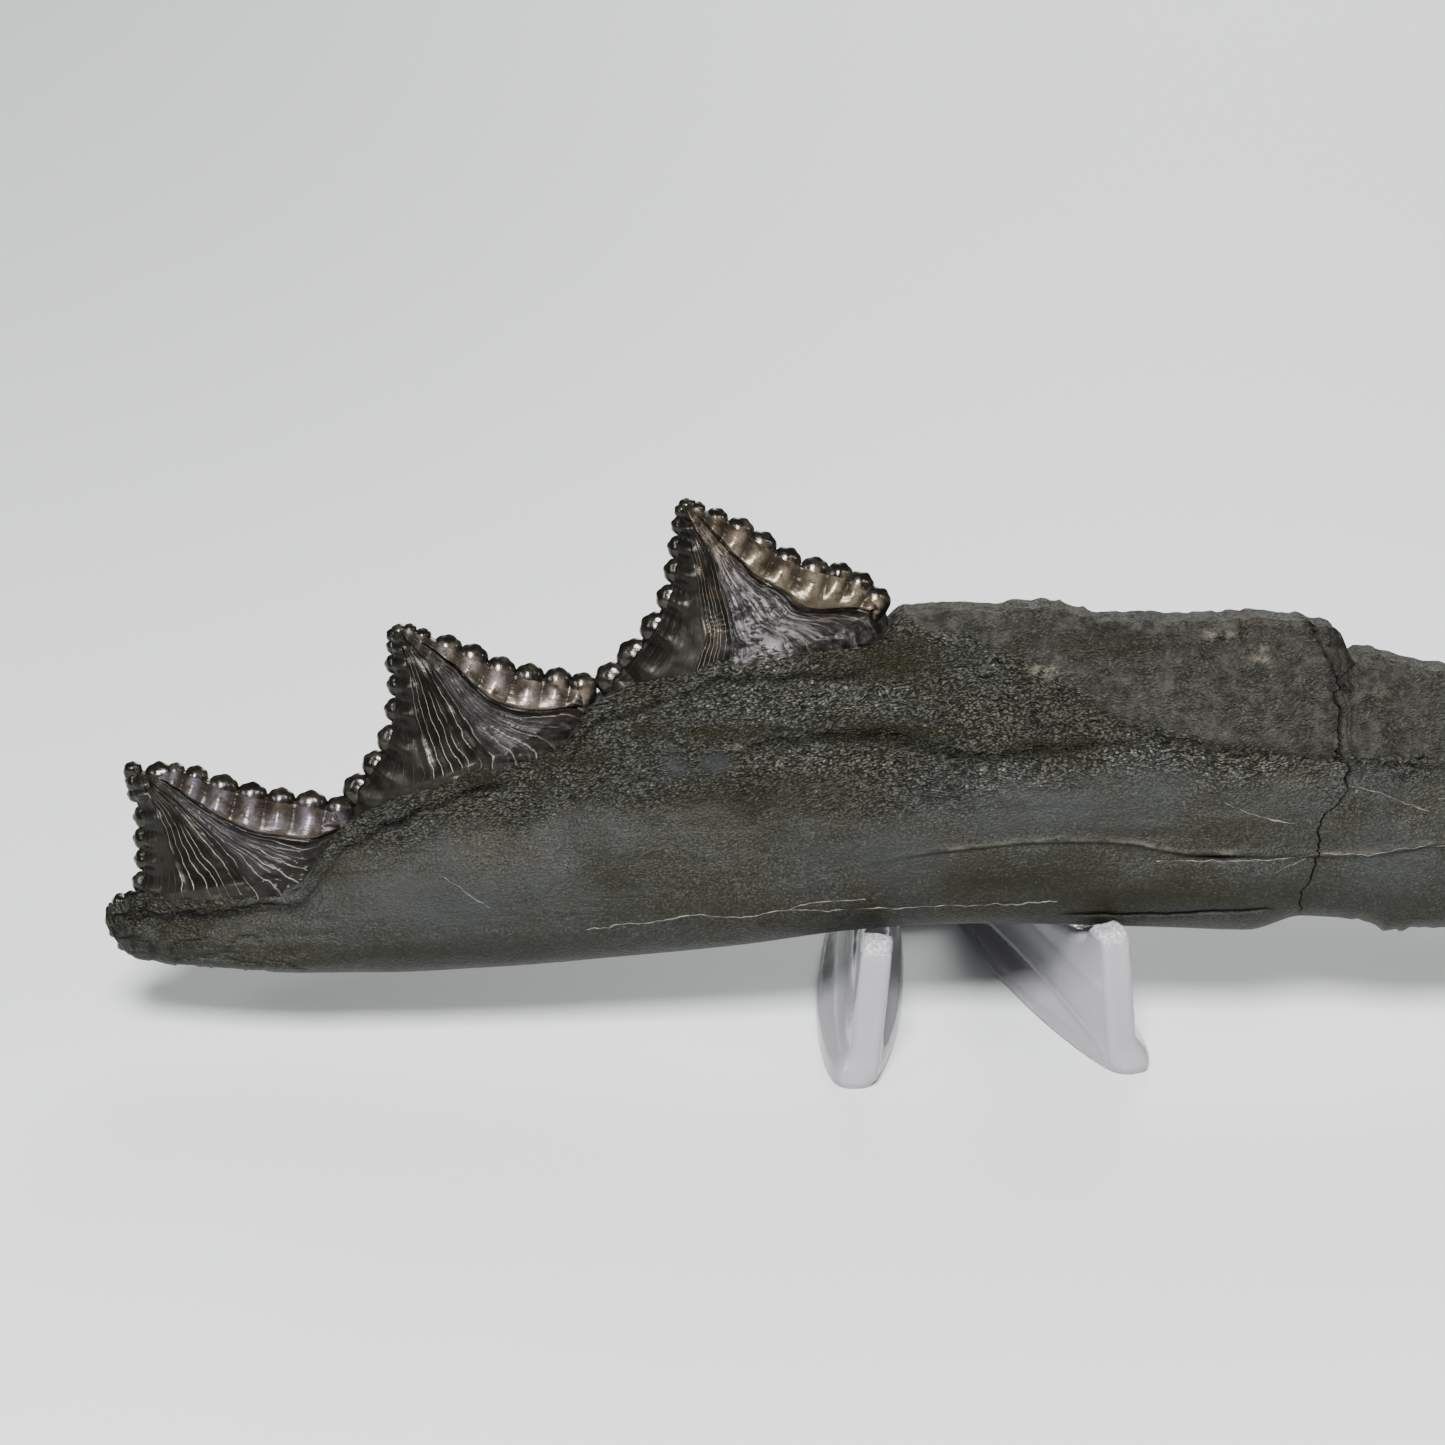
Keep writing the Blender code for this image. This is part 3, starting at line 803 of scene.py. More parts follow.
@dataclass
class Root:
    """The stacked root blades, grown and petrified into one curved bar."""

    keel: list[Point] = field(default_factory=lambda: [
        (-134.6, 1.0), (-132.9, -2.4), (-129.0, -5.2), (-122.0, -5.8), (-110.4, -6.4), (-92.0, -6.6),
        (-78.3, -6.0), (-65.5, -5.1), (-40.3, -2.8), (-19.8, -0.1), (-1.8, 0.7), (25.5, 0.1),
        (37.5, -0.3), (45.6, 1.9), (54.0, 1.2), (58.8, -0.7), (66.8, 0.1), (80.0, 0.8), (95.0, 1.8),
        (110.0, 3.0), (124.0, 4.6), (134.0, 6.2)])
    top: list[Point] = field(default_factory=lambda: [
        (-134.6, 3.6), (-127.0, 6.5), (-116.0, 7.3), (-105.5, 8.7), (-101.0, 14.0), (-97.0, 17.6),
        (-85.3, 23.2), (-78.7, 25.8), (-66.0, 28.6), (-61.5, 34.6), (-56.0, 37.6), (-49.0, 39.7),
        (-41.0, 42.7), (-20.7, 43.6), (-14.0, 49.0), (0.0, 49.5), (6.1, 50.0), (17.0, 47.8),
        (30.5, 48.2), (39.7, 48.4), (48.2, 47.0), (49.9, 46.1), (50.7, 44.6), (51.4, 42.4),
        (52.4, 41.9), (53.8, 43.1), (55.6, 43.3), (57.2, 42.2), (61.3, 41.1), (66.8, 40.2),
        (78.0, 37.4), (92.0, 33.6), (100.0, 31.8), (109.0, 26.8), (121.0, 23.6), (129.0, 20.4),
        (134.0, 15.2)])
    unbroken_top: list[Point] = field(default_factory=lambda: [
        (30.5, 48.2), (42.0, 46.9), (52.0, 44.2), (66.8, 40.2)])
    half_thickness: list[Point] = field(default_factory=lambda: [
        (-134.6, 2.4), (-131.0, 4.6), (-124.0, 6.6), (-110.0, 8.4), (-90.0, 9.5), (-60.0, 10.1),
        (-20.0, 10.5), (40.0, 10.4), (70.0, 9.8), (100.0, 8.6), (120.0, 7.2), (134.0, 5.2)])
    section: list[Point] = field(default_factory=lambda: [
        (0.0, 0.0), (0.025, 0.42), (0.08, 0.71), (0.16, 0.91), (0.235, 0.975), (0.40, 1.0),
        (0.545, 0.95), (0.72, 0.82), (0.88, 0.70), (0.965, 0.61), (1.0, 0.46)])
    upper_ledge: list[Point] = field(default_factory=lambda: [
        (-134.6, 4.5), (-100.0, 7.0), (-70.0, 18.0), (-45.0, 25.5), (-30.3, 28.3), (-22.2, 29.1),
        (-17.9, 28.9), (-10.7, 27.4), (-3.8, 25.7), (4.2, 26.3), (15.8, 27.8), (27.6, 28.6),
        (34.0, 27.5), (49.4, 27.0), (67.0, 26.0), (90.0, 22.6), (110.0, 18.0), (134.0, 12.5)])
    lower_ledge: list[Point] = field(default_factory=lambda: [
        (-134.6, 2.0), (-100.0, -2.2), (-60.0, 4.0), (-25.0, 9.0), (-11.4, 11.5), (-2.1, 12.6),
        (5.5, 13.3), (14.1, 13.4), (19.2, 13.1), (29.8, 11.4), (47.7, 11.2), (56.7, 11.4), (66.8, 12.9),
        (95.0, 11.6), (134.0, 9.2)])
    scar: list[Point] = field(default_factory=lambda: [
        (-134.6, 90.0), (-24.0, 60.0), (-12.0, 46.0), (2.0, 41.5), (8.0, 38.0), (13.5, 34.5),
        (20.0, 30.7), (33.0, 27.7), (50.7, 26.0), (67.0, 24.6), (134.0, 12.0)])
    grain_border: list[Point] = field(default_factory=lambda: [
        (-134.6, -7.0), (-120.0, -3.0), (-104.0, 6.0), (-80.0, 13.0), (-40.0, 15.5), (0.0, 18.0),
        (60.0, 19.5), (134.0, 12.0)])
    break_line: list[Point] = field(default_factory=lambda: [
        (-2.0, 45.8), (2.1, 45.8), (5.3, 46.1), (8.1, 47.7), (14.0, 48.5), (15.8, 48.3), (21.6, 52.6),
        (23.4, 52.1), (26.0, 52.0), (26.9, 50.9), (32.1, 50.6), (37.6, 50.5), (50.0, 50.4)])
    break_u: float = 50.0
    break_jag: float = 0.46
    break_pull: float = 7.5
    fork: Point = (50.6, 38.0)
    fork_slopes: tuple[float, float] = (0.90, -0.50)
    lower_level: float = 0.26
    upper_level: float = 0.58
    stations: int = 420
    shown_levels: int = 164
    top_points: int = 12
    back_levels: int = 48
    rear_rings: int = 11
    grit: Grit = field(default_factory=lambda: Grit(11))
    marks: dict[Tint, list[tuple[float, ...]]] = field(default_factory=lambda: {
        Tint.DUST: [
            (-83.0, 3.5, 18.0, 6.5, 0.9), (-15.0, 10.5, 8.0, 5.0, 0.75), (10.0, 18.5, 16.0, 4.0, 0.7),
            (38.0, 19.0, 10.0, 3.0, 0.5), (60.0, 9.0, 11.0, 6.0, 0.6), (100.0, 14.0, 18.0, 6.0, 0.5),
            (-62.0, 14.0, 10.0, 4.0, 0.4), (-48.4, 24.8, 2.2, 1.7, 1.3, 0.15),
            (-42.8, 25.5, 2.2, 1.7, 1.3, 0.15)],
        Tint.OLIVE: [
            (-57.7, 6.5, 7.0, 4.0, 0.9), (-38.5, 18.7, 13.0, 6.0, 0.75), (3.0, 8.2, 19.0, 4.0, 1.0),
            (-16.5, 30.0, 9.0, 1.7, 1.3), (9.0, 27.9, 9.0, 1.0, 1.2), (-43.0, 30.0, 12.0, 1.4, 0.9),
            (-118.0, 0.0, 14.0, 5.0, 0.7), (-16.0, 41.0, 8.0, 2.6, 1.1), (-64.0, 26.2, 6.0, 1.6, 1.0),
            (-77.0, 23.0, 8.0, 1.6, 1.0), (-101.0, 8.5, 6.0, 2.6, 0.9), (22.0, 5.0, 26.0, 3.0, 0.9),
            (24.0, 15.0, 18.0, 2.2, 0.5), (14.0, 44.0, 9.0, 2.2, 0.7), (-88.0, -4.0, 30.0, 2.4, 0.7)],
        Tint.PALE: [
            (6.4, 39.8, 1.7, 0.9, 1.6, 0.35), (38.9, 41.7, 0.9, 1.0, 1.6, 0.3),
            (33.3, 45.0, 2.0, 0.6, 1.8, 0.3), (-39.0, 27.9, 1.0, 0.6, 1.8, 0.3),
            (26.6, 33.6, 3.0, 1.8, 0.22, 0.2), (56.6, 36.1, 3.0, 1.1, 0.3, 0.2)]})

    @property
    def patches(self) -> list[Patch]:
        """Returns the marks as patches."""
        return [Patch(tint, *mark) for tint, marks in self.marks.items() for mark in marks]

    def low(self, u: Array) -> Array:
        """Returns the height of the keel."""
        return through(self.keel, u)

    def high(self, u: Array) -> Array:
        """Returns the height of the top edge."""
        return through(self.top, u)

    def plain_half(self, u: Array, share: Array) -> Array:
        """Works out half of the thickness, without relief.

        Args:
            u: places along the root.
            share: heights as shares of the root's height.

        Returns:
            Distances from the middle plane to the surface.
        """
        low = self.low(u)
        tall = self.high(u) - low
        wave_v = low + share * tall
        wave = np.sin(u * 0.19) * np.cos(wave_v * 0.33) + 0.6 * np.sin(u * 0.47 + wave_v * 0.21)
        start, end = self.unbroken_top[0][0], self.unbroken_top[-1][0]
        over_break = through(self.unbroken_top, u) - low
        even = np.where((u > start) & (u < end), np.clip(share * tall / over_break, 0.0, 1.0), share)
        body = through(self.half_thickness, u) * through(self.section, even)
        return body + 0.22 * wave * np.sin(math.pi * share)

    def station_places(self) -> Array:
        """Spreads the sections along the root, close together at the break and at the young tip.

        Returns:
            Their places.
        """
        fine = np.linspace(self.keel[0][0], self.keel[-1][0], 6000)
        density = 1 + 7 * bump(fine - self.break_u, 2.0) + 1.2 * bump(fine - self.keel[0][0], 5)
        total = np.cumsum(density)
        wanted = np.linspace(total[0], total[-1], self.stations)
        return np.interp(wanted, total, fine)

    def level_places(self, count: int) -> Array:
        """Spreads heights between keel (0) and top (1), close together at the keel and both ledges.

        Args:
            count: how many.

        Returns:
            The heights.
        """
        fine = np.linspace(0.0, 1.0, 4000)
        density = 1 + 2.6 * bump(fine, 0.08)
        density += 1.6 * bump(fine - self.lower_level, 0.02) + 2.4 * bump(fine - self.upper_level, 0.03)
        total = np.cumsum(density)
        return np.interp(np.linspace(total[0], total[-1], count), total, fine)

    def shares(self, u: Array, levels: Array) -> Array:
        """Bends the levels so that two of them follow the ledges.

        Args:
            u: places along the root, one row each.
            levels: heights between 0 and 1, one column each.

        Returns:
            Shares of the root's height, rows by columns.
        """
        low = self.low(u)
        tall = self.high(u) - low
        lift = PARALLAX * through(self.half_thickness, u) - low
        lower = np.clip((through(self.lower_ledge, u) + lift) / tall, 0.12, 0.44)
        upper = np.clip((through(self.upper_ledge, u) + 0.5 + lift) / tall, 0.48, 0.74)
        knots = (0.0, self.lower_level, self.upper_level, 1.0)
        return np.array([np.interp(levels, knots, (0.0, a, b, 1.0)) for a, b in zip(lower, upper)])

    def grain_weight(self, u: Array, v: Array) -> Array:
        """Returns 1 where the surface is leathery and 0 where it is satin."""
        border = through(self.grain_border, u)
        return smooth_step((v - border + 3.0 * self.grit.layers(u / 9, v / 6, 2.0)) / 6.5)

    def seen(self, u: Array, v: Array, share: Array) -> tuple[Array, Array]:
        """Returns where the camera sees a place of the face, measured on the jaw's middle plane."""
        return as_seen(u, v, self.plain_half(u, share))

    def break_path(self, v: Array, side: Side) -> Array:
        """Returns where the jagged break runs on one face at heights that the camera sees."""
        row = 33.0 if side is Side.SHOWN else 52.0
        return through(self.break_line, v) + self.break_jag * self.grit.layers(v / 0.8, 0.0, row)

    def weathered(self, u: Array, v: Array) -> Array:
        """Returns 1 where the surface has flaked off and is dull, above the scar, and 0 elsewhere."""
        return smooth_step((v - through(self.scar, u) + 1.2 * self.grit.layers(u / 4, v / 3, 27.0)) / 1.6)

    def relief(self, u: Array, v: Array, share: Array, side: Side) -> tuple:
        """Works out the root's relief on one face.

        Args:
            u: places along the root.
            v: heights as the camera sees them.
            share: the same heights as shares of the root's height.
            side: which face.

        Returns:
            How far the surface stands out, in millimetres, and how much painted shade it gets in cracks
            and recesses, 0 to 1.
        """
        g = self.grit
        other = 0.0 if side is Side.SHOWN else 19.0
        edge = smooth_step(share / 0.10)
        upper = v - through(self.upper_ledge, u) - 0.35 * g.layers(u / 3.3, 0.0, other + 41.0)
        lower = v - through(self.lower_ledge, u)
        on_upper = smooth_step((u + 52) / 20) * (0.84 + 0.16 * g.at(u / 9, other))
        deep = bump(u + 16, 13) + 0.55 * bump(u - 4, 5)
        faded = 1 - 0.62 * smooth_step((u - 13) / 8)
        on_lower = smooth_step((u + 22) / 14)
        slit = bump(u - 33.2, 3.4)

        # The upper ledge and the trough above it, then the lower ledge with its slit and second step.
        out = 0.45 * bump(upper + 1.6, 1.8) * on_upper
        trough = 0.38 + 0.62 * np.clip(deep, 0, 1)
        out -= (0.55 + 0.85 * deep) * bump(upper - 0.5, trough) * on_upper * faded
        out -= 0.36 * smooth_step(upper / 3) * smooth_step((9 - upper) / 6) * on_upper
        out += 0.20 * bump(lower - 0.25, 0.5) * on_lower
        out -= 0.38 * smooth_step(-lower / 0.5) * smooth_step((7 + lower) / 6) * on_lower
        out -= 0.9 * slit * bump(lower + 0.55, 0.35)
        second = v - (11.0 + 0.35 * np.sin(u * 0.31))
        out -= 0.22 * smooth_step(-second / 0.4) * bump(u - 31, 8)

        # The long slit near the keel.
        long_slit = v - (2.5 + 0.45 * g.layers(u / 5.0, 0.0, other + 35.0))
        open_slit = smooth_step((u - 8) / 5) * smooth_step((43 - u) / 4)
        out -= 0.75 * open_slit * bump(long_slit, 0.28)

        # The collar under the crowns: a groove, the rough rim above it and a soft fold below it.
        blades = (share - 1) * (self.high(u) - self.low(u))
        collar = smooth_step((-18 - u) / 6)
        recess = collar * bump(blades + 3.4 + 0.5 * g.at(u / 3.0, 6.0), 0.6)
        recess = recess * (0.75 + 0.5 * g.at(u / 6, 4.0))
        out -= 0.55 * recess
        out += collar * bump(blades + 1.4, 1.6) * (0.10 + 0.35 * g.layers(u / 1.3, v / 1.1, other + 45.0))
        out -= 0.20 * bump(blades + 9.8 + 1.2 * g.at(u / 14, 1.0), 1.4) * smooth_step((-30 - u) / 10)

        # Wrinkles and swellings, the flaked part with its scar, the worn top and the rough young tip.
        granular = self.grain_weight(u, v)
        leather = g.ridges(u / 1.9 + 40, v / 0.8, other + 1.0)
        coarse = g.layers(u / 6.0, v / 3.0, other + 5.0)
        out += granular * (0.11 * leather + 0.17 * coarse) * edge
        out += 0.07 * g.layers(u / 12.0, v / 1.3, other + 9.0) * edge
        out += 0.20 * g.layers(u / 17.0, v / 11.0, other + 13.0) * edge
        weathered = self.weathered(u, v)
        out += weathered * (0.30 * g.layers(u / 5.0, v / 3.6, other + 15.0) - 0.15)
        out += weathered * 0.13 * g.ridges(u / 2.6, v / 1.5, other + 16.0)
        scar = bump(v - through(self.scar, u), 0.36) * smooth_step((u - 10) / 4)
        out -= 0.30 * scar * smooth_step((70 - u) / 9)
        worn = smooth_step((share - 0.80) / 0.2) * smooth_step((u + 16) / 6)
        out += worn * 0.26 * g.layers(u / 3.4, v / 2.2, other + 17.0)
        tip = smooth_step((-122 - u) / 8)
        out += tip * 0.60 * g.layers(u / 2.6, v / 2.4, other + 21.0) * edge
        plates = np.abs(g.at(u / 4.2 + 50, v / 3.6, other + 23.0))
        plated = smooth_step((-96 - u) / 12)
        out -= 0.35 * plated * bump(plates, 0.07) * edge
        flakes = bump(v + 4.6, 1.3) * smooth_step((-112 - u) / 6)
        out -= 0.5 * flakes * np.clip(g.ridges(u / 4.0, v / 0.9, 3.0), 0, 1)

        # The break, and the two branches in which it ends at the top.
        gap = np.abs(u - self.break_path(v, side))
        crack_half = 0.13 + 0.05 * g.at(v / 1.7, other + 2.0)
        crack = np.clip(1 - gap / crack_half, 0.0, 1.0) * smooth_step((39.0 - v) / 1.2)
        out -= 1.05 * crack ** 0.9 * edge
        branch = np.zeros(u.shape)
        for slope in self.fork_slopes:
            middle = self.fork[0] + slope * (v - self.fork[1])
            off = np.abs(u - middle - 0.3 * g.at(v / 0.9, other + slope))
            branch = np.maximum(branch, np.clip(1 - off / 0.24, 0, 1) * smooth_step((v - 37.6) / 0.8))
        out -= 0.75 * branch

        # Painted shade: everything that lies deep enough to be dark, in cracks, slits, troughs, the scar
        # and recesses.
        cavity = np.clip(crack ** 0.8 + branch, 0, 1)
        lip = np.clip(0.50 + 0.75 * deep, 0, 1) * faded
        cavity = np.maximum(cavity, lip * on_upper * bump(upper - 0.5, trough))
        cavity = np.maximum(cavity, 0.5 * scar)
        cavity = np.maximum(cavity, slit * bump(lower + 0.55, 0.35))
        cavity = np.maximum(cavity, open_slit * bump(long_slit, 0.27))
        cavity = np.maximum(cavity, 0.95 * recess)
        cavity = np.maximum(cavity, 0.7 * plated * bump(plates, 0.05))
        return out, np.clip(cavity, 0, 1)

    def tints(self, u: Array, v: Array, share: Array, side: Side) -> dict[str, Array]:
        """Works out the colour fields of one face, painted light among them.

        Args:
            u: places along the root.
            v: heights as the camera sees them.
            share: the same heights as shares of the root's height.
            side: which face.

        Returns:
            Field name to values between 0 and 1.
        """
        wobble = self.grit.layers(u / 3.1, v / 2.3, 31.0)
        shift = 0.0 if side is Side.SHOWN else 13.0
        fields = {tint.value: np.zeros(u.shape) for tint in Tint}
        for patch in self.patches:
            cover = patch.cover(u + shift, v, wobble)
            fields[patch.tint.value] = np.maximum(fields[patch.tint.value], cover)
        broken = smooth_step((share - 0.965) / 0.03) * smooth_step((u + 16) / 4)
        fields[Tint.PALE.value] = np.maximum(fields[Tint.PALE.value], 0.14 * broken * (1 + 0.9 * wobble))
        lower = v - through(self.lower_ledge, u)
        line = bump(lower - 0.2, 0.3) * smooth_step((u + 16) / 8) * (0.35 + 0.35 * wobble)
        fields[Tint.PALE.value] = np.clip(np.maximum(fields[Tint.PALE.value], line), 0, 1)
        fields["grain"] = self.grain_weight(u, v)
        fields["matte"] = self.weathered(u, v) * (0.75 + 0.4 * wobble)
        # Painted light: a lit strip below the upper ledge, and gleams above it and under the crowns.
        below = through(self.upper_ledge, u) - v
        lit_band = smooth_step((below - 0.3) / 0.9) * smooth_step((7.0 - below) / 4.0)
        lit_band *= smooth_step((64 - u) / 16)
        lit_band *= 0.40 * smooth_step((u + 55) / 25) + 0.60 * smooth_step((u + 4) / 12)
        gleam = 0.8 * bump(u + 1, 6) * bump(v - 33, 3.2) + 0.5 * bump(u + 30, 18) * bump(v - 35, 3.0)
        collar = bump((share - 1) * (self.high(u) - self.low(u)) + 3.0, 1.8)
        below_crowns = bump(u + 34, 9) + bump(u + 72, 9) + 0.5 * bump(u + 104, 6)
        gleam = np.maximum(gleam, 0.75 * collar * below_crowns)
        fields["bright"] = np.clip(np.maximum(lit_band, gleam) * (0.8 + 0.6 * wobble), 0, 1)
        return fields

    def face(self, u: Array, share: Array, side: Side) -> tuple:
        """Shapes one face. The columns near the break are pulled on to its line.

        Args:
            u: places along the root.
            share: heights as shares of the root's height.
            side: which face.

        Returns:
            Its points, its painted shade in cavities and its colour fields.
        """
        start = u
        pull = bump(u - self.break_u, self.break_pull)
        for _ in range(SETTLING_ROUNDS):
            v = self.low(u) + share * (self.high(u) - self.low(u))
            _, level = self.seen(u, v, share)
            crack = self.break_path(level, side)
            crack = crack - (crack - AXIS[0]) * self.plain_half(u, share) / CAMERA_DISTANCE
            u = 0.4 * u + 0.6 * (start + pull * (crack - self.break_u))
        v = self.low(u) + share * (self.high(u) - self.low(u))
        seen_u, seen_v = self.seen(u, v, share)

        # Relief across the face, then chips out of its upper and lower edges.
        out, cavity = self.relief(seen_u, seen_v, share, side)
        if side is Side.SHOWN:
            out = out + sum(patch.height * patch.cover(seen_u, seen_v, 0.0) for patch in self.patches)
        w = np.maximum(self.plain_half(u, share) + out * smooth_step(share / 0.05), 0.0)
        ragged = smooth_step((share - 0.9) / 0.1) * smooth_step((u + 16) / 5)
        chipped = smooth_step((0.10 - share) / 0.10) * smooth_step((-106 - u) / 8)
        v = v - np.abs(self.grit.layers(u / 3.6, share * 3, 41.0)) * 0.55 * ragged
        v = v + np.abs(self.grit.layers(u / 1.9, share * 3, 47.0)) * 1.7 * chipped
        lump = bump(u - 59, 5) * smooth_step((0.09 - share) / 0.09)
        v = v + np.abs(self.grit.layers(u / 1.5, share * 3, 49.0)) * 1.2 * lump
        points = np.stack([u, side.value * w, v], axis=-1)
        return points, cavity, self.tints(seen_u, seen_v, share, side)

    def top_strip(self, start: Array, end: Array) -> Array:
        """Bridges the broken top between the two faces.

        Args:
            start: upper edge of the shown face.
            end: upper edge of the back.

        Returns:
            Points across the top, without those edges.
        """
        t = np.linspace(0.0, 1.0, self.top_points + 2)[1:-1][None, :, None]
        strip = start[:, None, :] * (1 - t) + end[:, None, :] * t
        rough = self.grit.layers(strip[..., 0] / 2.4, strip[..., 1] / 2.4, 51.0)
        strip[..., 2] -= np.abs(rough) * 0.9 * np.sin(math.pi * t[..., 0])
        return strip

    def build(self, plane: JawPlane, material: Material) -> Object:
        """Makes the root.

        Args:
            plane: where the jaw lies.
            material: its finish.

        Returns:
            The finished object, in place.
        """
        places = self.station_places()
        shown_u = np.repeat(places[:, None], self.shown_levels, axis=1)
        back_u = np.repeat(places[:, None], self.back_levels, axis=1)
        shown_share = self.shares(places, self.level_places(self.shown_levels))
        back_share = self.shares(places, self.level_places(self.back_levels))
        shown, shown_cavity_shade, shown_tints = self.face(shown_u, shown_share, Side.SHOWN)
        back, back_cavity_shade, back_tints = self.face(back_u, back_share, Side.BACK)
        strip = self.top_strip(shown[:, -1], back[:, -1])
        points = np.concatenate([shown, strip, back[:, :0:-1]], axis=1)
        middle = np.zeros(strip.shape[:2])
        fields = {"cavity": np.concatenate([shown_cavity_shade, middle, back_cavity_shade[:, :0:-1]], axis=1)}
        for key, values in shown_tints.items():
            across = middle + values[:, -1:]
            fields[key] = np.concatenate([values, across, back_tints[key][:, :0:-1]], axis=1)
        steps = np.linalg.norm(np.diff(points, axis=1, append=points[:, :1])[..., 1:], axis=-1)
        around = np.concatenate([np.zeros((len(places), 1)), np.cumsum(steps, axis=1)], axis=1)
        lengths = np.concatenate([points[..., 0], points[:, :1, 0]], axis=1)
        points, lengths, around, fields = self.rear_face(points, lengths, around, fields)
        obj = Skin(points, lengths / 10, around / 10, fields).build("jaw_root")
        obj.data.materials.append(material)
        return plane.settle(obj)

    def rear_face(self, points: Array, lengths: Array, around: Array, fields: dict[str, Array]) -> tuple:
        """Closes the rear end with a rough broken face of shrinking rings.

        Args:
            points: the root's sections, each a ring of places.
            lengths: how far along the root each place lies.
            around: how far round the root each place lies.
            fields: field name to a value for each place.

        Returns:
            The same four, with the rings added.
        """
        rings = self.rear_rings
        last = points[-1]
        centre = last.mean(axis=0)
        extra = []
        for k in range(1, rings + 1):
            ring = last + (centre - last) * (k / (rings + 1))
            rough = self.grit.layers(ring[:, 1] / 2.2, ring[:, 2] / 2.2, 61.0)
            ring[:, 0] -= (0.35 + np.abs(rough) * 1.1) * min(1.0, k / 2)
            extra.append(ring)
        points = np.concatenate([points, np.array(extra)], axis=0)
        reach = lengths[-1] + np.arange(1, rings + 1)[:, None] * 0.4
        lengths = np.concatenate([lengths, reach], axis=0)
        around = np.concatenate([around, np.repeat(around[-1:], rings, axis=0)], axis=0)
        fields = {key: np.concatenate([values, np.repeat(values[-1:], rings, axis=0)], axis=0)
                  for key, values in fields.items()}
        return points, lengths, around, fields


@dataclass(frozen=True)
class Fold:
    """A line that runs down a crown from its apex, with the share of the fan that it stands for."""

    share: float
    path: tuple[Point, ...]


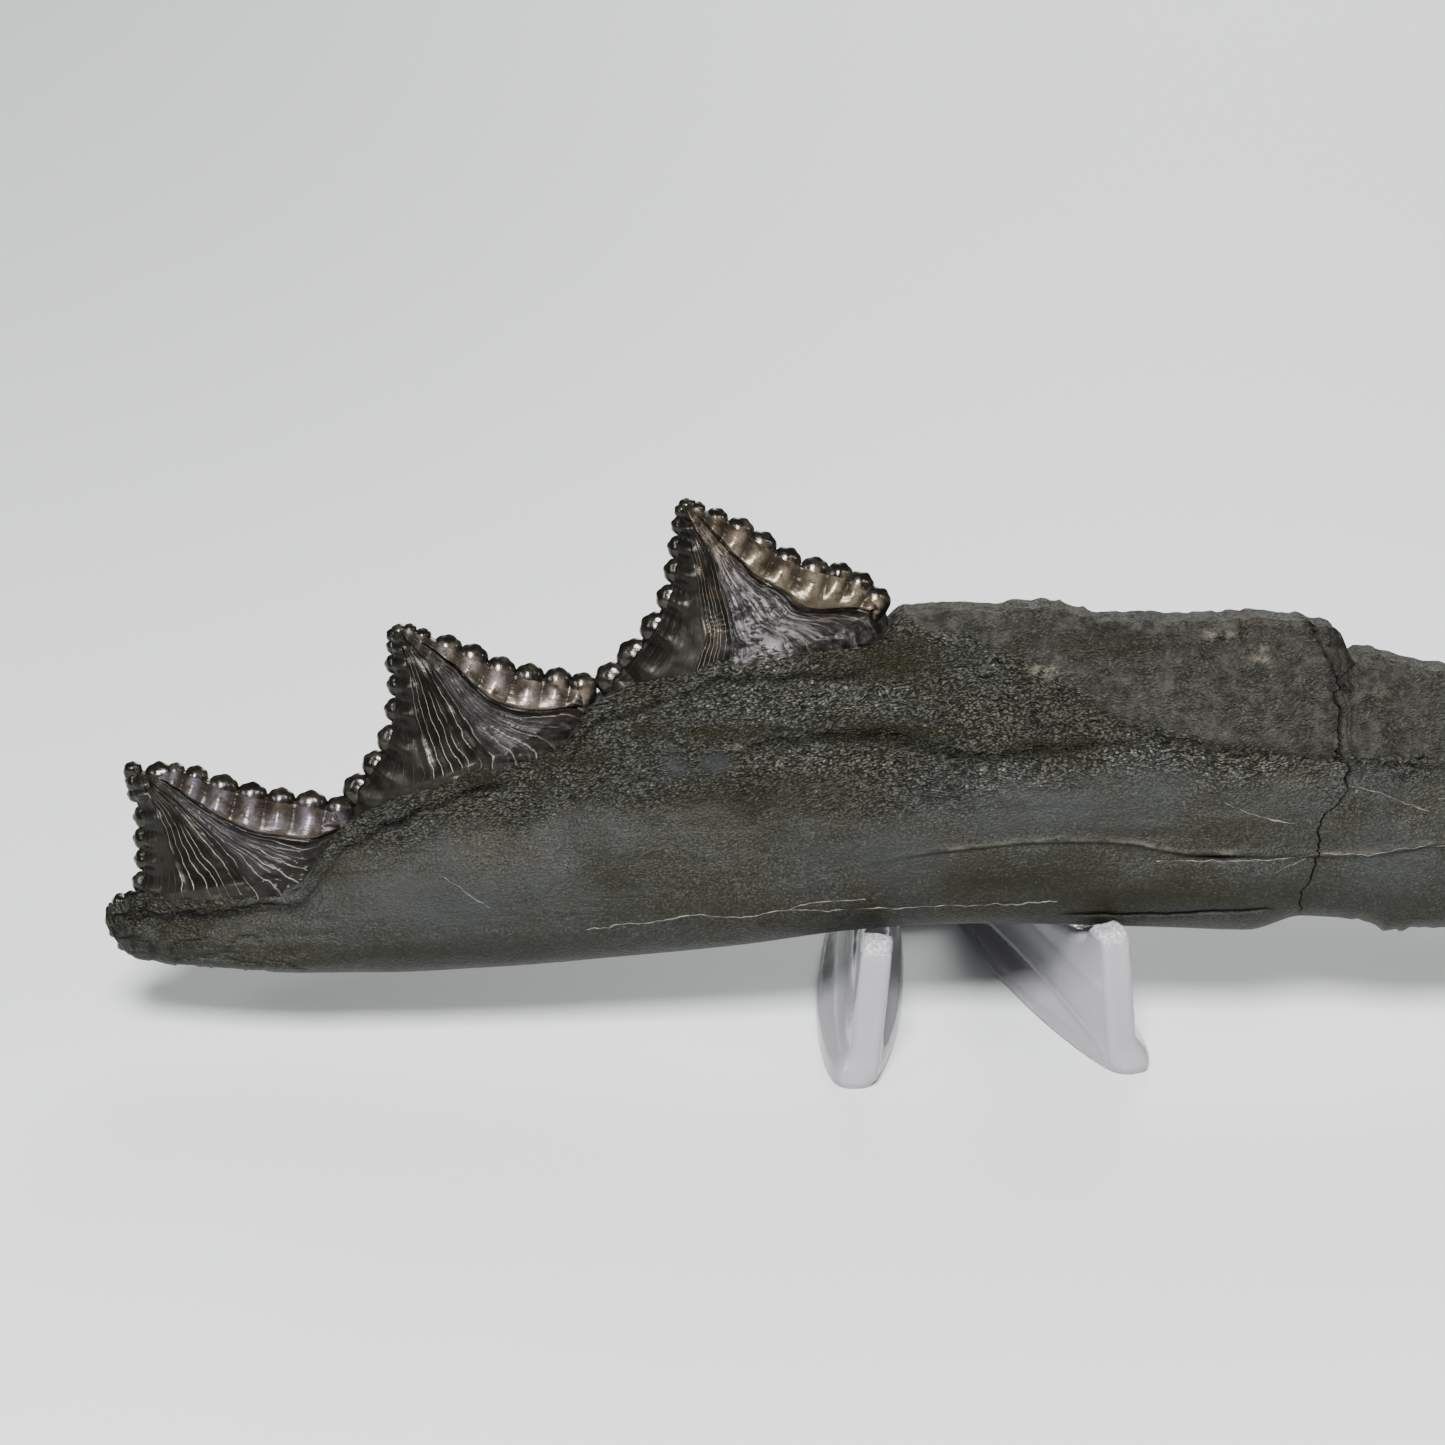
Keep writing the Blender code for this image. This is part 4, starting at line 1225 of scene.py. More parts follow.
@dataclass
class Crown:
    """One serrated crown: an enamel blade whose two cutting edges carry denticles.

    Its fan runs from 0 at the front edge to 1 at the rear one. The folds bend it: the dark wedge lies
    between the first two, the silvery lobe between the last two, and the amber zone with its painted
    highlights behind them.
    """

    name: str
    apex: Point
    front: list[Point]
    rear: list[Point]
    base: list[Point]
    folds: tuple[Fold, ...]
    seed: int
    enamel: EnamelFinish
    denticle: DenticleFinish
    rows: int = 210
    base_rows: int = 34
    columns: int = 112
    apex_half: float = 1.3
    base_half: float = 6.25
    crest_inset: float = 0.45
    sink: float = 3.2

    def edge(self, crests: list[Point], turn: float, t: Array) -> Array:
        """The blade's edge, a little inside its denticles' crests.

        Args:
            crests: the denticles' crests, from the apex down.
            turn: -1 for the front edge and 1 for the rear one.
            t: positions on it, where whole numbers are the crests and 0 is the apex.

        Returns:
            Places in the side view.
        """
        points = np.array([self.apex] + crests)
        line = along_points(points, t)
        ahead = along_points(points, np.minimum(t + 0.4, len(crests)))
        behind = along_points(points, np.maximum(t - 0.4, 0.0))
        tangent = ahead - behind
        tangent /= np.linalg.norm(tangent, axis=1, keepdims=True)
        outward = np.stack([-tangent[:, 1], tangent[:, 0]], axis=1) * turn
        pitch = np.linalg.norm(np.diff(points, axis=0), axis=1)
        pitches = np.interp(t, np.arange(len(points)), np.concatenate([pitch[:1], pitch]))
        return line - outward * (pitches * self.crest_inset)[:, None]

    def side_view(self) -> tuple[Array, Array, Array]:
        """Spreads the blade's places between its two edges and its base.

        Returns:
            The places (rows, columns, 2), each row's depth and each column's share.
        """
        share = (1 - np.cos(np.linspace(0.0, math.pi, self.columns))) / 2
        share = 0.35 * share + 0.65 * np.linspace(0.0, 1.0, self.columns)
        depth = np.linspace(0.04, 1.0, self.rows)
        front = self.edge(self.front, -1.0, depth * len(self.front))
        rear = self.edge(self.rear, 1.0, depth * len(self.rear))
        base_points = np.array(self.base)
        base = along_points(base_points, share * (len(base_points) - 1))
        last = front[-1] * (1 - share[:, None]) + rear[-1] * share[:, None]
        sag = 0.6 * depth[:, None] ** 2 * np.sin(math.pi * share)[None, :] ** 0.7
        fan = front[:, None] * (1 - share[None, :, None]) + rear[:, None] * share[None, :, None]
        fan = fan + sag[..., None] * (base - last)[None]
        down = smooth_step(np.linspace(0.0, 1.0, self.base_rows + 1))[1:, None, None]
        skirt = fan[-1][None] * (1 - down) + base[None] * down
        sunk = base.copy()
        sunk[:, 1] -= self.sink
        places = np.concatenate([fan, skirt, sunk[None]], axis=0)
        depths = np.concatenate([depth, np.linspace(1.0, 1.25, self.base_rows), [1.3]])
        return places, depths, share

    def fan(self, places: Array, depth: Array, share: Array) -> Array:
        """Bends the columns' shares so that the folds lie on lines of one value.

        Args:
            places: the blade's places as the camera sees them.
            depth: of each row.
            share: of each column.

        Returns:
            The fan coordinate of every place.
        """
        flat = places.reshape(-1, 2)
        marks = []
        for fold in self.folds:
            path = np.array(fold.path)
            line = along_points(path, np.linspace(0, len(path) - 1.0, 24))
            near = np.argmin(((line[:, None] - flat[None]) ** 2).sum(axis=2), axis=1)
            row, column = np.unravel_index(near, places.shape[:2])
            order = np.argsort(row, kind="stable")
            at = np.interp(depth, depth[row][order], share[column][order])
            marks.append(np.convolve(np.pad(at, 6, mode="edge"), np.ones(13) / 13, mode="valid"))
        values = [0.0] + [fold.share for fold in self.folds] + [1.0]
        bent = []
        for r in range(len(depth)):
            lines = [mark[r] + 1e-4 * k for k, mark in enumerate(marks)]
            knots = np.maximum.accumulate([0.0] + lines + [1.0])
            bent.append(np.interp(share, knots, values))
        return np.array(bent)

    def thickness(self, depth: Array, share: Array) -> Array:
        """Works out half of the blade's thickness, without relief.

        Args:
            depth: of each row.
            share: of each column.

        Returns:
            Distances from the middle plane, rows by columns.
        """
        middle = self.apex_half + (self.base_half - self.apex_half) * np.minimum(depth, 1.0) ** 0.8
        middle = np.where(depth > 1.27, middle * 0.9, middle)
        side = np.minimum(share, 1 - share)
        rim = np.sqrt(np.clip(1 - (1 - np.minimum(side, 0.03) / 0.03) ** 2, 0, 1))
        hump = np.sin(math.pi * share) ** 0.85
        return rim[None] * 0.95 + (middle[:, None] - 0.95) * hump[None]

    def denticle_roots(self, u: Array, v: Array) -> tuple[Array, Array]:
        """Finds the swellings below the denticles and the grooves between them.

        Args:
            u: places along the jaw.
            v: places up the jaw.

        Returns:
            How strongly each place belongs to a swelling and to a groove, 0 to 1.
        """
        roots = np.zeros(u.shape)
        rim = np.zeros(u.shape)
        for crest, outward, pitch in self.denticles():
            inward = (crest[0] - u) * outward[0] + (crest[1] - v) * outward[1]
            aside = (crest[0] - u) * outward[1] - (crest[1] - v) * outward[0]
            fade = smooth_step((1.9 * pitch - inward) / (1.1 * pitch))
            roots = np.maximum(roots, bump(aside, 0.32 * pitch) * fade * smooth_step(inward / 1.0))
            near = smooth_step((1.55 * pitch - inward) / (0.7 * pitch))
            rim = np.maximum(rim, bump(aside, 0.9 * pitch) * near)
        return roots, np.clip(1.25 * rim - 1.6 * roots, 0.0, 1.0)

    def relief(self, depth: Array, fan: Array, roots: Array, grooves: Array,
               u: Array, v: Array) -> Array:
        """Works out the blade's relief.

        Args:
            depth: of each row.
            fan: fan coordinate of every place.
            roots: how strongly each place belongs to a denticle's root.
            grooves: how strongly it belongs to a groove between two roots.
            u: places along the jaw.
            v: places up the jaw.

        Returns:
            How far the surface stands out, in millimetres.
        """
        g = Grit(self.seed)
        b = np.repeat(depth[:, None], fan.shape[1], axis=1)
        first, middle, last = (fold.share for fold in self.folds)
        deep = smooth_step((b - 0.05) / 0.3)
        in_wedge = smooth_step((fan - first) / 0.03) * smooth_step((middle - fan) / 0.025)
        in_lobe = smooth_step((fan - middle) / 0.03) * smooth_step((last - fan) / 0.03)
        in_band = smooth_step((fan - last) / 0.03)
        out = -0.35 * in_wedge * deep + 0.40 * in_lobe * deep
        out -= 0.75 * deep * bump(fan - last, 0.018)
        out += 0.16 * in_lobe * g.layers(fan * 46, b * 3.0, 1.0) * deep
        out += 0.10 * in_lobe * g.ridges(fan * 80, b * 5.0, 4.0)
        out += 0.05 * in_wedge * g.ridges(fan * 60, b * 1.5, 6.0)
        out += 0.10 * g.layers(u / 3.2, v / 3.2, 8.0)
        out += 0.035 * (1 - in_lobe) * g.layers(fan * 50, b * 3.0, 9.0)
        out += 0.85 * roots - 0.30 * grooves - 0.15
        hem = smooth_step((b - 0.98) / 0.1)
        out += hem * in_lobe * 0.25 * g.layers(u / 4.5, v / 0.8, 12.0)
        crumpled = 0.20 * g.layers(u / 1.8, v / 1.3, 14.0)
        return out + hem * (crumpled + 0.22 * g.ridges(u / 5.5, v / 0.7, 16.0) * in_band)

    def build(self, plane: JawPlane, material: Material) -> Object:
        """Makes the blade.

        Args:
            plane: where the jaw lies.
            material: its finish.

        Returns:
            The finished object, in place.
        """
        places, depth, share = self.side_view()
        u = places[..., 0]
        v = places[..., 1]
        seen = np.stack(as_seen(u, v, self.thickness(depth, share)), axis=-1)
        fan = self.fan(seen, depth, share)
        roots, grooves = self.denticle_roots(u, v)
        rim = smooth_step(np.minimum(share, 1 - share) / 0.04)[None, :]
        relief = self.relief(depth, fan, roots, grooves, u, v)
        w = np.maximum(self.thickness(depth, share) + relief * rim, 0.0)
        w[:, 0] = 0.0
        w[:, -1] = 0.0
        shown = np.stack([u, -w, v], axis=-1)
        back = np.stack([u, w, v], axis=-1)[:, -2:0:-1]
        points = np.concatenate([shown, back], axis=1)
        reach = self.rear[-1][0] - self.apex[0]
        tail = smooth_step((u - self.apex[0] - 0.42 * reach) / (0.20 * reach))
        # These fields carry painted highlights on the denticles' roots and painted shade between them.
        fields = {"root_of_bead": roots, "groove": grooves, "tail": tail,
                  "depth": np.repeat(depth[:, None], len(share), axis=1)}
        fields = {key: np.concatenate([values, values[:, -2:0:-1]], axis=1)
                  for key, values in fields.items()}
        around = np.concatenate([fan, fan[:, -2:0:-1], fan[:, :1]], axis=1)
        fall = np.repeat(depth[:, None], around.shape[1], axis=1)
        obj = Skin(points, around, fall, fields).build(f"crown_{self.name}")
        obj.data.materials.append(material)
        return plane.settle(obj)

    def denticles(self) -> list[tuple[Array, Array, float]]:
        """Lists the denticles, the front edge's ones first.

        Returns:
            Each one's crest, outward direction and pitch.
        """
        found = []
        for crests, turn in ((self.front, -1.0), (self.rear, 1.0)):
            points = np.array([self.apex] + crests)
            for i in range(1, len(points)):
                following = points[min(i + 1, len(points) - 1)]
                tangent = following - points[i - 1]
                outward = np.array((-tangent[1], tangent[0])) * turn
                pitch = float(np.linalg.norm(points[i] - points[i - 1]))
                found.append((points[i], outward / np.linalg.norm(outward), pitch))
        return found


@dataclass
class GeometryTree:
    """A Geometry Nodes tree that is run on one object and then turned into a plain mesh."""

    name: str

    def __post_init__(self) -> None:
        """Starts the tree with its geometry sockets."""
        self.tree = bpy.data.node_groups.new(self.name, "GeometryNodeTree")
        self.tree.interface.new_socket("Geometry", in_out="INPUT", socket_type="NodeSocketGeometry")
        self.tree.interface.new_socket("Geometry", in_out="OUTPUT", socket_type="NodeSocketGeometry")
        self.words = Nodes(self.tree)
        self.sockets: dict[str, str] = {}

    def input(self, name: str, kind: str) -> None:
        """Adds a named input."""
        socket = self.tree.interface.new_socket(name, in_out="INPUT", socket_type=kind)
        self.sockets[name] = socket.identifier

    def finish(self, geometry: Socket, material: Socket) -> None:
        """Realizes the instances, sets the material and closes the tree.

        Args:
            geometry: the instances or the mesh.
            material: the tree's material input.
        """
        real = self.words.add("GeometryNodeRealizeInstances", {0: geometry})
        smooth = self.words.add("GeometryNodeSetShadeSmooth", {"Geometry": real.outputs[0]})
        dressed = self.words.add("GeometryNodeSetMaterial", {"Geometry": smooth.outputs[0],
                                                             "Material": material})
        end = self.tree.nodes.new("NodeGroupOutput")
        self.tree.links.new(dressed.outputs[0], end.inputs[0])

    def run(self, obj: Object, values: dict[str, object]) -> Object:
        """Runs the tree on an object.

        Args:
            obj: carries the points, the path or the strip.
            values: input name to value.

        Returns:
            A new object of the same name with a plain mesh, in place of the first.
        """
        modifier = obj.modifiers.new(self.name, "NODES")
        modifier.node_group = self.tree
        for name, value in values.items():
            modifier[self.sockets[name]] = value
        name = obj.name
        mesh = plain_mesh(obj)
        mesh.name = name
        return link(name, mesh)


@dataclass
class DenticleRows:
    """The beaded denticles along the cutting edges, each with small cusps on its rim."""

    width_share: float = 1.24
    length_share: float = 1.9
    least_length: float = 3.4
    overhang: float = 0.1
    thickness: float = 3.9
    wobble: float = 0.10
    seed: int = 5
    apex_half_size: tuple[float, float, float] = (1.5, 1.4, 1.7)
    apex_shift: Point = (0.3, -1.5)
    tip_knobs: tuple = ((-132.6, 3.9, 1.5), (-133.3, 1.8, 1.25), (-133.4, -0.4, 1.2),
                        (-132.2, -2.4, 1.2))
    tip_turn: float = -1.2
    rings: int = 26
    sides: int = 44
    body: tuple[float, float, float] = (0.90, 0.80, 0.82)
    boxiness: float = 3.0
    welding: float = 18.0
    knobs: tuple = ((0.0, 0.0, 0.47, 0.46), (-0.43, 0.0, 0.35, 0.42), (0.43, 0.0, 0.35, 0.42),
                    (-0.58, 0.0, -0.02, 0.42), (0.58, 0.0, -0.02, 0.42), (-0.10, -0.44, 0.20, 0.48),
                    (0.34, -0.42, -0.12, 0.46), (-0.10, 0.44, 0.20, 0.48), (0.34, 0.42, -0.12, 0.46))

    def template(self) -> Object:
        """Makes one denticle of unit half size: a round body with smaller knobs round its tip (+Z).

        Returns:
            The object that the rows repeat.
        """
        rings, sides = self.rings, self.sides
        polar, turn = np.meshgrid(np.linspace(0, math.pi, rings + 1)[1:-1],
                                  np.linspace(0, 2 * math.pi, sides, endpoint=False), indexing="ij")
        way = np.stack([np.sin(polar) * np.cos(turn), np.sin(polar) * np.sin(turn), np.cos(polar)], -1)
        way = np.concatenate([way.reshape(-1, 3), [(0.0, 0.0, 1.0), (0.0, 0.0, -1.0)]])
        reach = [(np.abs(way / self.body) ** self.boxiness).sum(axis=1) ** (-1 / self.boxiness)]
        for x, y, z, radius in self.knobs:
            along = way @ np.array((x, y, z))
            inside = along ** 2 - (x * x + y * y + z * z) + radius ** 2
            reach.append(np.where(inside > 0, along + np.sqrt(np.maximum(inside, 0.0)), 0.0))
        length = (np.array(reach) ** self.welding).sum(axis=0) ** (1 / self.welding)
        points = way * length[:, None]
        faces = []
        for i in range(rings - 2):
            for j in range(sides):
                k = (j + 1) % sides
                faces.append((i * sides + j, (i + 1) * sides + j, (i + 1) * sides + k, i * sides + k))
        for j in range(sides):
            k = (j + 1) % sides
            faces.append((j, k, len(points) - 2))
            faces.append(((rings - 2) * sides + k, (rings - 2) * sides + j, len(points) - 1))
        mesh = bpy.data.meshes.new("denticle_template")
        mesh.from_pydata(points.tolist(), [], faces)
        rim = np.hypot(points[:, 0], np.maximum(points[:, 2], 0.0))
        set_field(mesh, "rimward", rim)
        face_outwards(mesh)
        return link("denticle_template", mesh)

    def tree(self) -> GeometryTree:
        """Builds the tree that puts a denticle on every point.

        Returns:
            The tree.
        """
        made = GeometryTree("denticle_rows")
        for name, kind in (("Template", "NodeSocketObject"), ("Wobble", "NodeSocketFloat"),
                           ("Seed", "NodeSocketInt"), ("Material", "NodeSocketMaterial")):
            made.input(name, kind)
        n = made.words
        start = made.tree.nodes.new("NodeGroupInput")
        shape = n.add("GeometryNodeObjectInfo", {"Object": start.outputs["Template"]})
        size = n.add("GeometryNodeInputNamedAttribute", {"Name": "size"}, data_type="FLOAT_VECTOR")
        turn = n.add("GeometryNodeInputNamedAttribute", {"Name": "turn"}, data_type="FLOAT")
        low = n.times(start.outputs["Wobble"], -1.0)
        jitter = n.add("FunctionNodeRandomValue", {"Min": low, "Max": start.outputs["Wobble"],
                                                   "Seed": start.outputs["Seed"]}, data_type="FLOAT")
        for name, source in (("Min", low), ("Max", start.outputs["Wobble"])):
            for socket in jitter.inputs:
                if socket.name == name and socket.type == "VALUE":
                    made.tree.links.new(source, socket)
        angle = n.plus(turn.outputs["Attribute"], jitter.outputs[1])
        rotation = n.add("ShaderNodeCombineXYZ", {"Y": angle})
        placed = n.add("GeometryNodeInstanceOnPoints", {
            "Points": start.outputs["Geometry"], "Instance": shape.outputs["Geometry"],
            "Rotation": rotation.outputs[0], "Scale": size.outputs["Attribute"]})
        made.finish(placed.outputs[0], start.outputs["Material"])
        return made

    def build(self, crowns: list[Crown], plane: JawPlane) -> list[Object]:
        """Makes the denticles, one object for each crown.

        Args:
            crowns: what they grow on.
            plane: where the jaw lies.

        Returns:
            The finished objects, in place.
        """
        template = self.template()
        made = self.tree()
        rows = []
        for crown in crowns:
            places, sizes, turns = [], [], []
            rear = [0.0] * len(crown.front) + [1.0] * len(crown.rear) + [0.0]
            for crest, outward, pitch in crown.denticles():
                length = max(self.least_length, pitch * self.length_share)
                width = pitch * self.width_share
                thick = min(self.thickness, 1.1 * width)
                places.append(crest - outward * (length / 2 - self.overhang))
                sizes.append((width / 2, thick / 2, length / 2))
                turns.append(math.atan2(outward[0], outward[1]))
            places.append(np.array(crown.apex) + self.apex_shift)
            sizes.append(self.apex_half_size)
            turns.append(0.0)
            for u, v, radius in self.tip_knobs if crown is crowns[0] else ():
                places.append((u, v))
                sizes.append((radius, 1.3 * radius, radius))
                turns.append(self.tip_turn)
                rear.append(0.0)
            mesh = bpy.data.meshes.new(f"denticles_{crown.name}")
            mesh.from_pydata([(float(u) * MM, 0.0, float(v) * MM) for u, v in places], [], [])
            size = mesh.attributes.new("size", "FLOAT_VECTOR", "POINT")
            size.data.foreach_set("vector", np.ravel(sizes) * MM)
            set_field(mesh, "turn", turns)
            set_field(mesh, "rear", rear)
            obj = link(f"denticles_{crown.name}", mesh)
            values = {"Template": template, "Wobble": self.wobble, "Seed": self.seed,
                      "Material": crown.denticle.make()}
            rows.append(plane.settle(made.run(obj, values)))
        bpy.data.objects.remove(template, do_unlink=True)
        return rows


@dataclass
class Veins:
    """Hairline mineral veins and scratches that lie on the root's shown face."""

    paths: list[list[Point]] = field(default_factory=lambda: [
        [(-62.1, -0.2), (-57.2, 0.5), (-51.8, 1.1), (-44.4, 2.0), (-38.4, 1.8), (-31.5, 2.9)],
        [(-31.5, 2.9), (-26.7, 4.1), (-20.0, 4.4)],
        [(-31.5, 2.9), (-29.1, 2.7), (-13.8, 3.2), (-5.9, 3.5), (2.0, 3.6), (9.0, 4.1)],
        [(-83.6, 7.7), (-80.0, 5.4), (-76.7, 3.2)],
        [(52.9, 22.0), (58.0, 20.4), (64.8, 18.0)],
        [(23.9, 10.4), (31.0, 10.2), (38.2, 10.4), (47.5, 11.2)],
        [(49.0, 11.3), (56.7, 11.4), (61.3, 12.3), (70.0, 12.9)],
        [(34.0, 19.5), (39.0, 17.2), (44.5, 16.2)],
        [(42.0, 8.5), (46.5, 10.8)],
        [(66.0, 20.0), (84.0, 19.0), (97.0, 16.5)]])
    radius: float = 0.078
    ragged: float = 1.3
    pitch: float = 0.35
    seed: int = 3

    def tree(self) -> GeometryTree:
        """Builds the tree that sweeps an uneven thread along a path.

        Returns:
            The tree.
        """
        made = GeometryTree("vein_threads")
        for name, kind in (("Radius", "NodeSocketFloat"), ("Ragged", "NodeSocketFloat"),
                           ("Seed", "NodeSocketInt"), ("Material", "NodeSocketMaterial")):
            made.input(name, kind)
        n = made.words
        start = made.tree.nodes.new("NodeGroupInput")
        path = n.add("GeometryNodeMeshToCurve", {0: start.outputs["Geometry"]})
        offset = n.add("ShaderNodeCombineXYZ", {"X": start.outputs["Seed"]})
        place = n.add("GeometryNodeInputPosition")
        where = n.add("ShaderNodeVectorMath", {0: place.outputs[0], 1: offset.outputs[0]},
                      operation="ADD")
        grain = n.add("ShaderNodeTexNoise", {"Vector": where.outputs[0], "Scale": 420.0, "Detail": 3.0})
        uneven = n.times(n.minus(grain.outputs["Fac"], 0.5), start.outputs["Ragged"])
        factor = n.math("MAXIMUM", n.plus(1.0, n.times(uneven, 4.0)), 0.12)
        width = n.times(start.outputs["Radius"], factor)
        sized = n.add("GeometryNodeSetCurveRadius", {"Curve": path.outputs[0], "Radius": width})
        ring = n.add("GeometryNodeCurvePrimitiveCircle", {"Resolution": 6, "Radius": 1.0})
        swept = n.add("GeometryNodeCurveToMesh", {"Curve": sized.outputs[0],
                                                  "Profile Curve": ring.outputs["Curve"],
                                                  "Fill Caps": True})
        if "Scale" in swept.inputs:
            radius = n.add("GeometryNodeInputRadius")
            made.tree.links.new(radius.outputs[0], swept.inputs["Scale"])
        made.finish(swept.outputs[0], start.outputs["Material"])
        return made

    def build(self, root: Root, plane: JawPlane, material: Material) -> Object:
        """Makes all veins as one object.

        Args:
            root: the surface that they lie on.
            plane: where the jaw lies.
            material: their finish.

        Returns:
            The finished object, in place.
        """
        points, edges = [], []
        for path in self.paths:
            nodes = np.array(path)
            length = np.linalg.norm(np.diff(nodes, axis=0), axis=1).sum()
            t = np.linspace(0.0, len(nodes) - 1.0, max(4, int(length / self.pitch)))
            line = along_points(nodes, t)
            wander = root.grit.layers(line[:, 0] / 1.6, line[:, 1] / 1.6, 71.0) * 0.22
            seen_u, seen_v = line[:, 0], line[:, 1] + wander
            u, v = seen_u, seen_v + 1.5
            for _ in range(SETTLING_ROUNDS):
                share = np.clip((v - root.low(u)) / (root.high(u) - root.low(u)), 0.0, 1.0)
                at_u, at_v = root.seen(u, v, share)
                u, v = u + seen_u - at_u, v + seen_v - at_v
            out, _ = root.relief(seen_u, seen_v, share, Side.SHOWN)
            w = root.plain_half(u, share) + out * smooth_step(share / 0.05) - 0.02
            first = len(points)
            points += [(a * MM, -c * MM, b * MM) for a, b, c in zip(u, v, w)]
            edges += [(i, i + 1) for i in range(first, len(points) - 1)]
        mesh = bpy.data.meshes.new("mineral_veins")
        mesh.from_pydata(points, edges, [])
        obj = link("mineral_veins", mesh)
        values = {"Radius": self.radius * MM, "Ragged": self.ragged, "Seed": self.seed,
                  "Material": material}
        return plane.settle(self.tree().run(obj, values))


@dataclass
class DisplayStand:
    """The clear moulded stand: two splayed legs with lips, back rests and flared feet, and a bridge."""

    turn: float = math.radians(7.0)
    splay: float = math.radians(10.4)
    front_p: float = 20.1
    leg_lean: float = math.radians(5.0)
    web: float = 4.7
    pad_length: float = 76.0
    pad_front: float = 9.6
    pad_middle: float = 13.6
    pad_offset: float = 1.2
    pad_overhang: float = 0.6
    flare_height: float = 11.0
    lip_top: float = 23.5
    ledge_front: Point = (8.8, 19.6)
    ledge_back: Point = (27.2, 16.7)
    rest_top: Point = (36.2, 54.0)
    rest_width: float = 6.5
    rear_q: float = 74.0
    bridge: tuple[float, float, float, float] = (63.0, 74.0, 4.2, 10.0)
    web_round: float = 0.9
    bridge_round: float = 0.8
    voxel: float = 0.42
    sole: float = 0.25
    scuff_depth: float = 0.42

    def outline(self) -> list[Point]:
        """Draws the side of one leg's web.

        Returns:
            Its outline, from the foot of the lip round to the foot of the rear edge.
        """
        lip = self.lip_top
        q, z = self.rest_top
        return [(0.3, 1.2), (0.6, lip - 2.6), (1.2, lip - 1.2), (2.4, lip - 0.25), (3.9, lip),
                (5.6, lip - 0.4), (7.2, lip - 1.6), (8.0, lip - 2.8),
                self.ledge_front, self.ledge_back, self.rest_top,
                (q + 1.4, z + 2.1), (q + self.rest_width - 1.4, z + 2.1), (q + self.rest_width, z),
                (54.0, 25.0), (self.rear_q - 6.0, 8.0), (self.rear_q, 1.2)]

    def leg_matrix(self, side: int) -> Matrix:
        """Returns a leg's place in the stand's plan."""
        foot = Matrix.Translation((side * self.front_p * MM, 0.0, 0.0))
        return Matrix.Rotation(self.turn, 4, "Z") @ foot @ Matrix.Rotation(side * self.splay, 4, "Z")

    def make_web(self, side: int) -> bmesh.types.BMesh:
        """Makes one leg's upright plate, a prism of its outline with rounded rims.

        Args:
            side: -1 for the left leg and 1 for the right one.

        Returns:
            The plate, in the stand's plan.
        """
        bm = bmesh.new()
        outline = self.outline()
        sides = []
        for x in (-self.web / 2, self.web / 2):
            sides.append([bm.verts.new((x * MM, q * MM, z * MM)) for q, z in outline])
        bm.faces.new(sides[0])
        bm.faces.new(sides[1][::-1])
        for i in range(len(outline)):
            j = (i + 1) % len(outline)
            bm.faces.new((sides[0][j], sides[0][i], sides[1][i], sides[1][j]))
        bmesh.ops.recalc_face_normals(bm, faces=bm.faces)
        rims = [e for e in bm.edges if abs(e.verts[0].co.x - e.verts[1].co.x) < 1e-7]
        round_edges(bm, rims, self.web_round)
        bm.transform(self.leg_matrix(side) @ Matrix.Rotation(-side * self.leg_lean, 4, "Y"))
        return bm

    def make_pad(self, side: int) -> bmesh.types.BMesh:
        """Makes one foot, whose top sweeps up into the web.

        Args:
            side: -1 for the left leg and 1 for the right one.

        Returns:
            The foot, in the stand's plan.
        """
        levels = [(0.0, 1.0, 0.7), (0.35, 1.0, 0.2), (0.9, 1.0, 0.0), (2.0, 1.0, 0.05), (2.9, 0.97, 0.3),
                  (3.8, 0.84, 0.8), (4.8, 0.70, 1.3), (6.8, 0.50, 2.2), (self.flare_height, 0.33, 3.2)]
        count = 72
        bm = bmesh.new()
        layers = []
        for z, spread, inset in levels:
            layer = []
            for i in range(count):
                angle = 2 * math.pi * i / count
                reach = math.copysign(abs(math.sin(angle)) ** 0.6, math.sin(angle))
                swell = math.sin(math.pi * (reach + 1) / 2)
                wide = self.pad_front + (self.pad_middle - self.pad_front) * swell
                fill = math.copysign(abs(math.cos(angle)) ** 0.5, math.cos(angle))
                x = fill * (wide / 2 - inset) * spread
                q = self.pad_length / 2 + reach * (self.pad_length / 2 - inset)
                layer.append(bm.verts.new((x * MM, q * MM, z * MM)))
            layers.append(layer)
        for lower, upper in zip(layers, layers[1:]):
            for i in range(count):
                j = (i + 1) % count
                bm.faces.new((lower[i], lower[j], upper[j], upper[i]))
        bm.faces.new(layers[0][::-1])
        bm.faces.new(layers[-1])
        bmesh.ops.recalc_face_normals(bm, faces=bm.faces)
        shift = Matrix.Translation((side * self.pad_offset * MM, -self.pad_overhang * MM, 0.0))
        bm.transform(self.leg_matrix(side) @ shift)
        return bm

    def make_bridge(self) -> bmesh.types.BMesh:
        """Makes the low plate that joins the legs at the back.

        Returns:
            The plate, in the stand's plan.
        """
        front, back, height, half = self.bridge
        bm = bmesh.new()
        size = Matrix.Diagonal((2 * half * MM, (back - front) * MM, height * MM, 1.0))
        place = Matrix.Translation((0.0, (front + back) / 2 * MM, height / 2 * MM))
        bmesh.ops.create_cube(bm, size=1.0, matrix=place @ size)
        round_edges(bm, list(bm.edges), self.bridge_round)
        bm.transform(Matrix.Rotation(self.turn, 4, "Z"))
        return bm

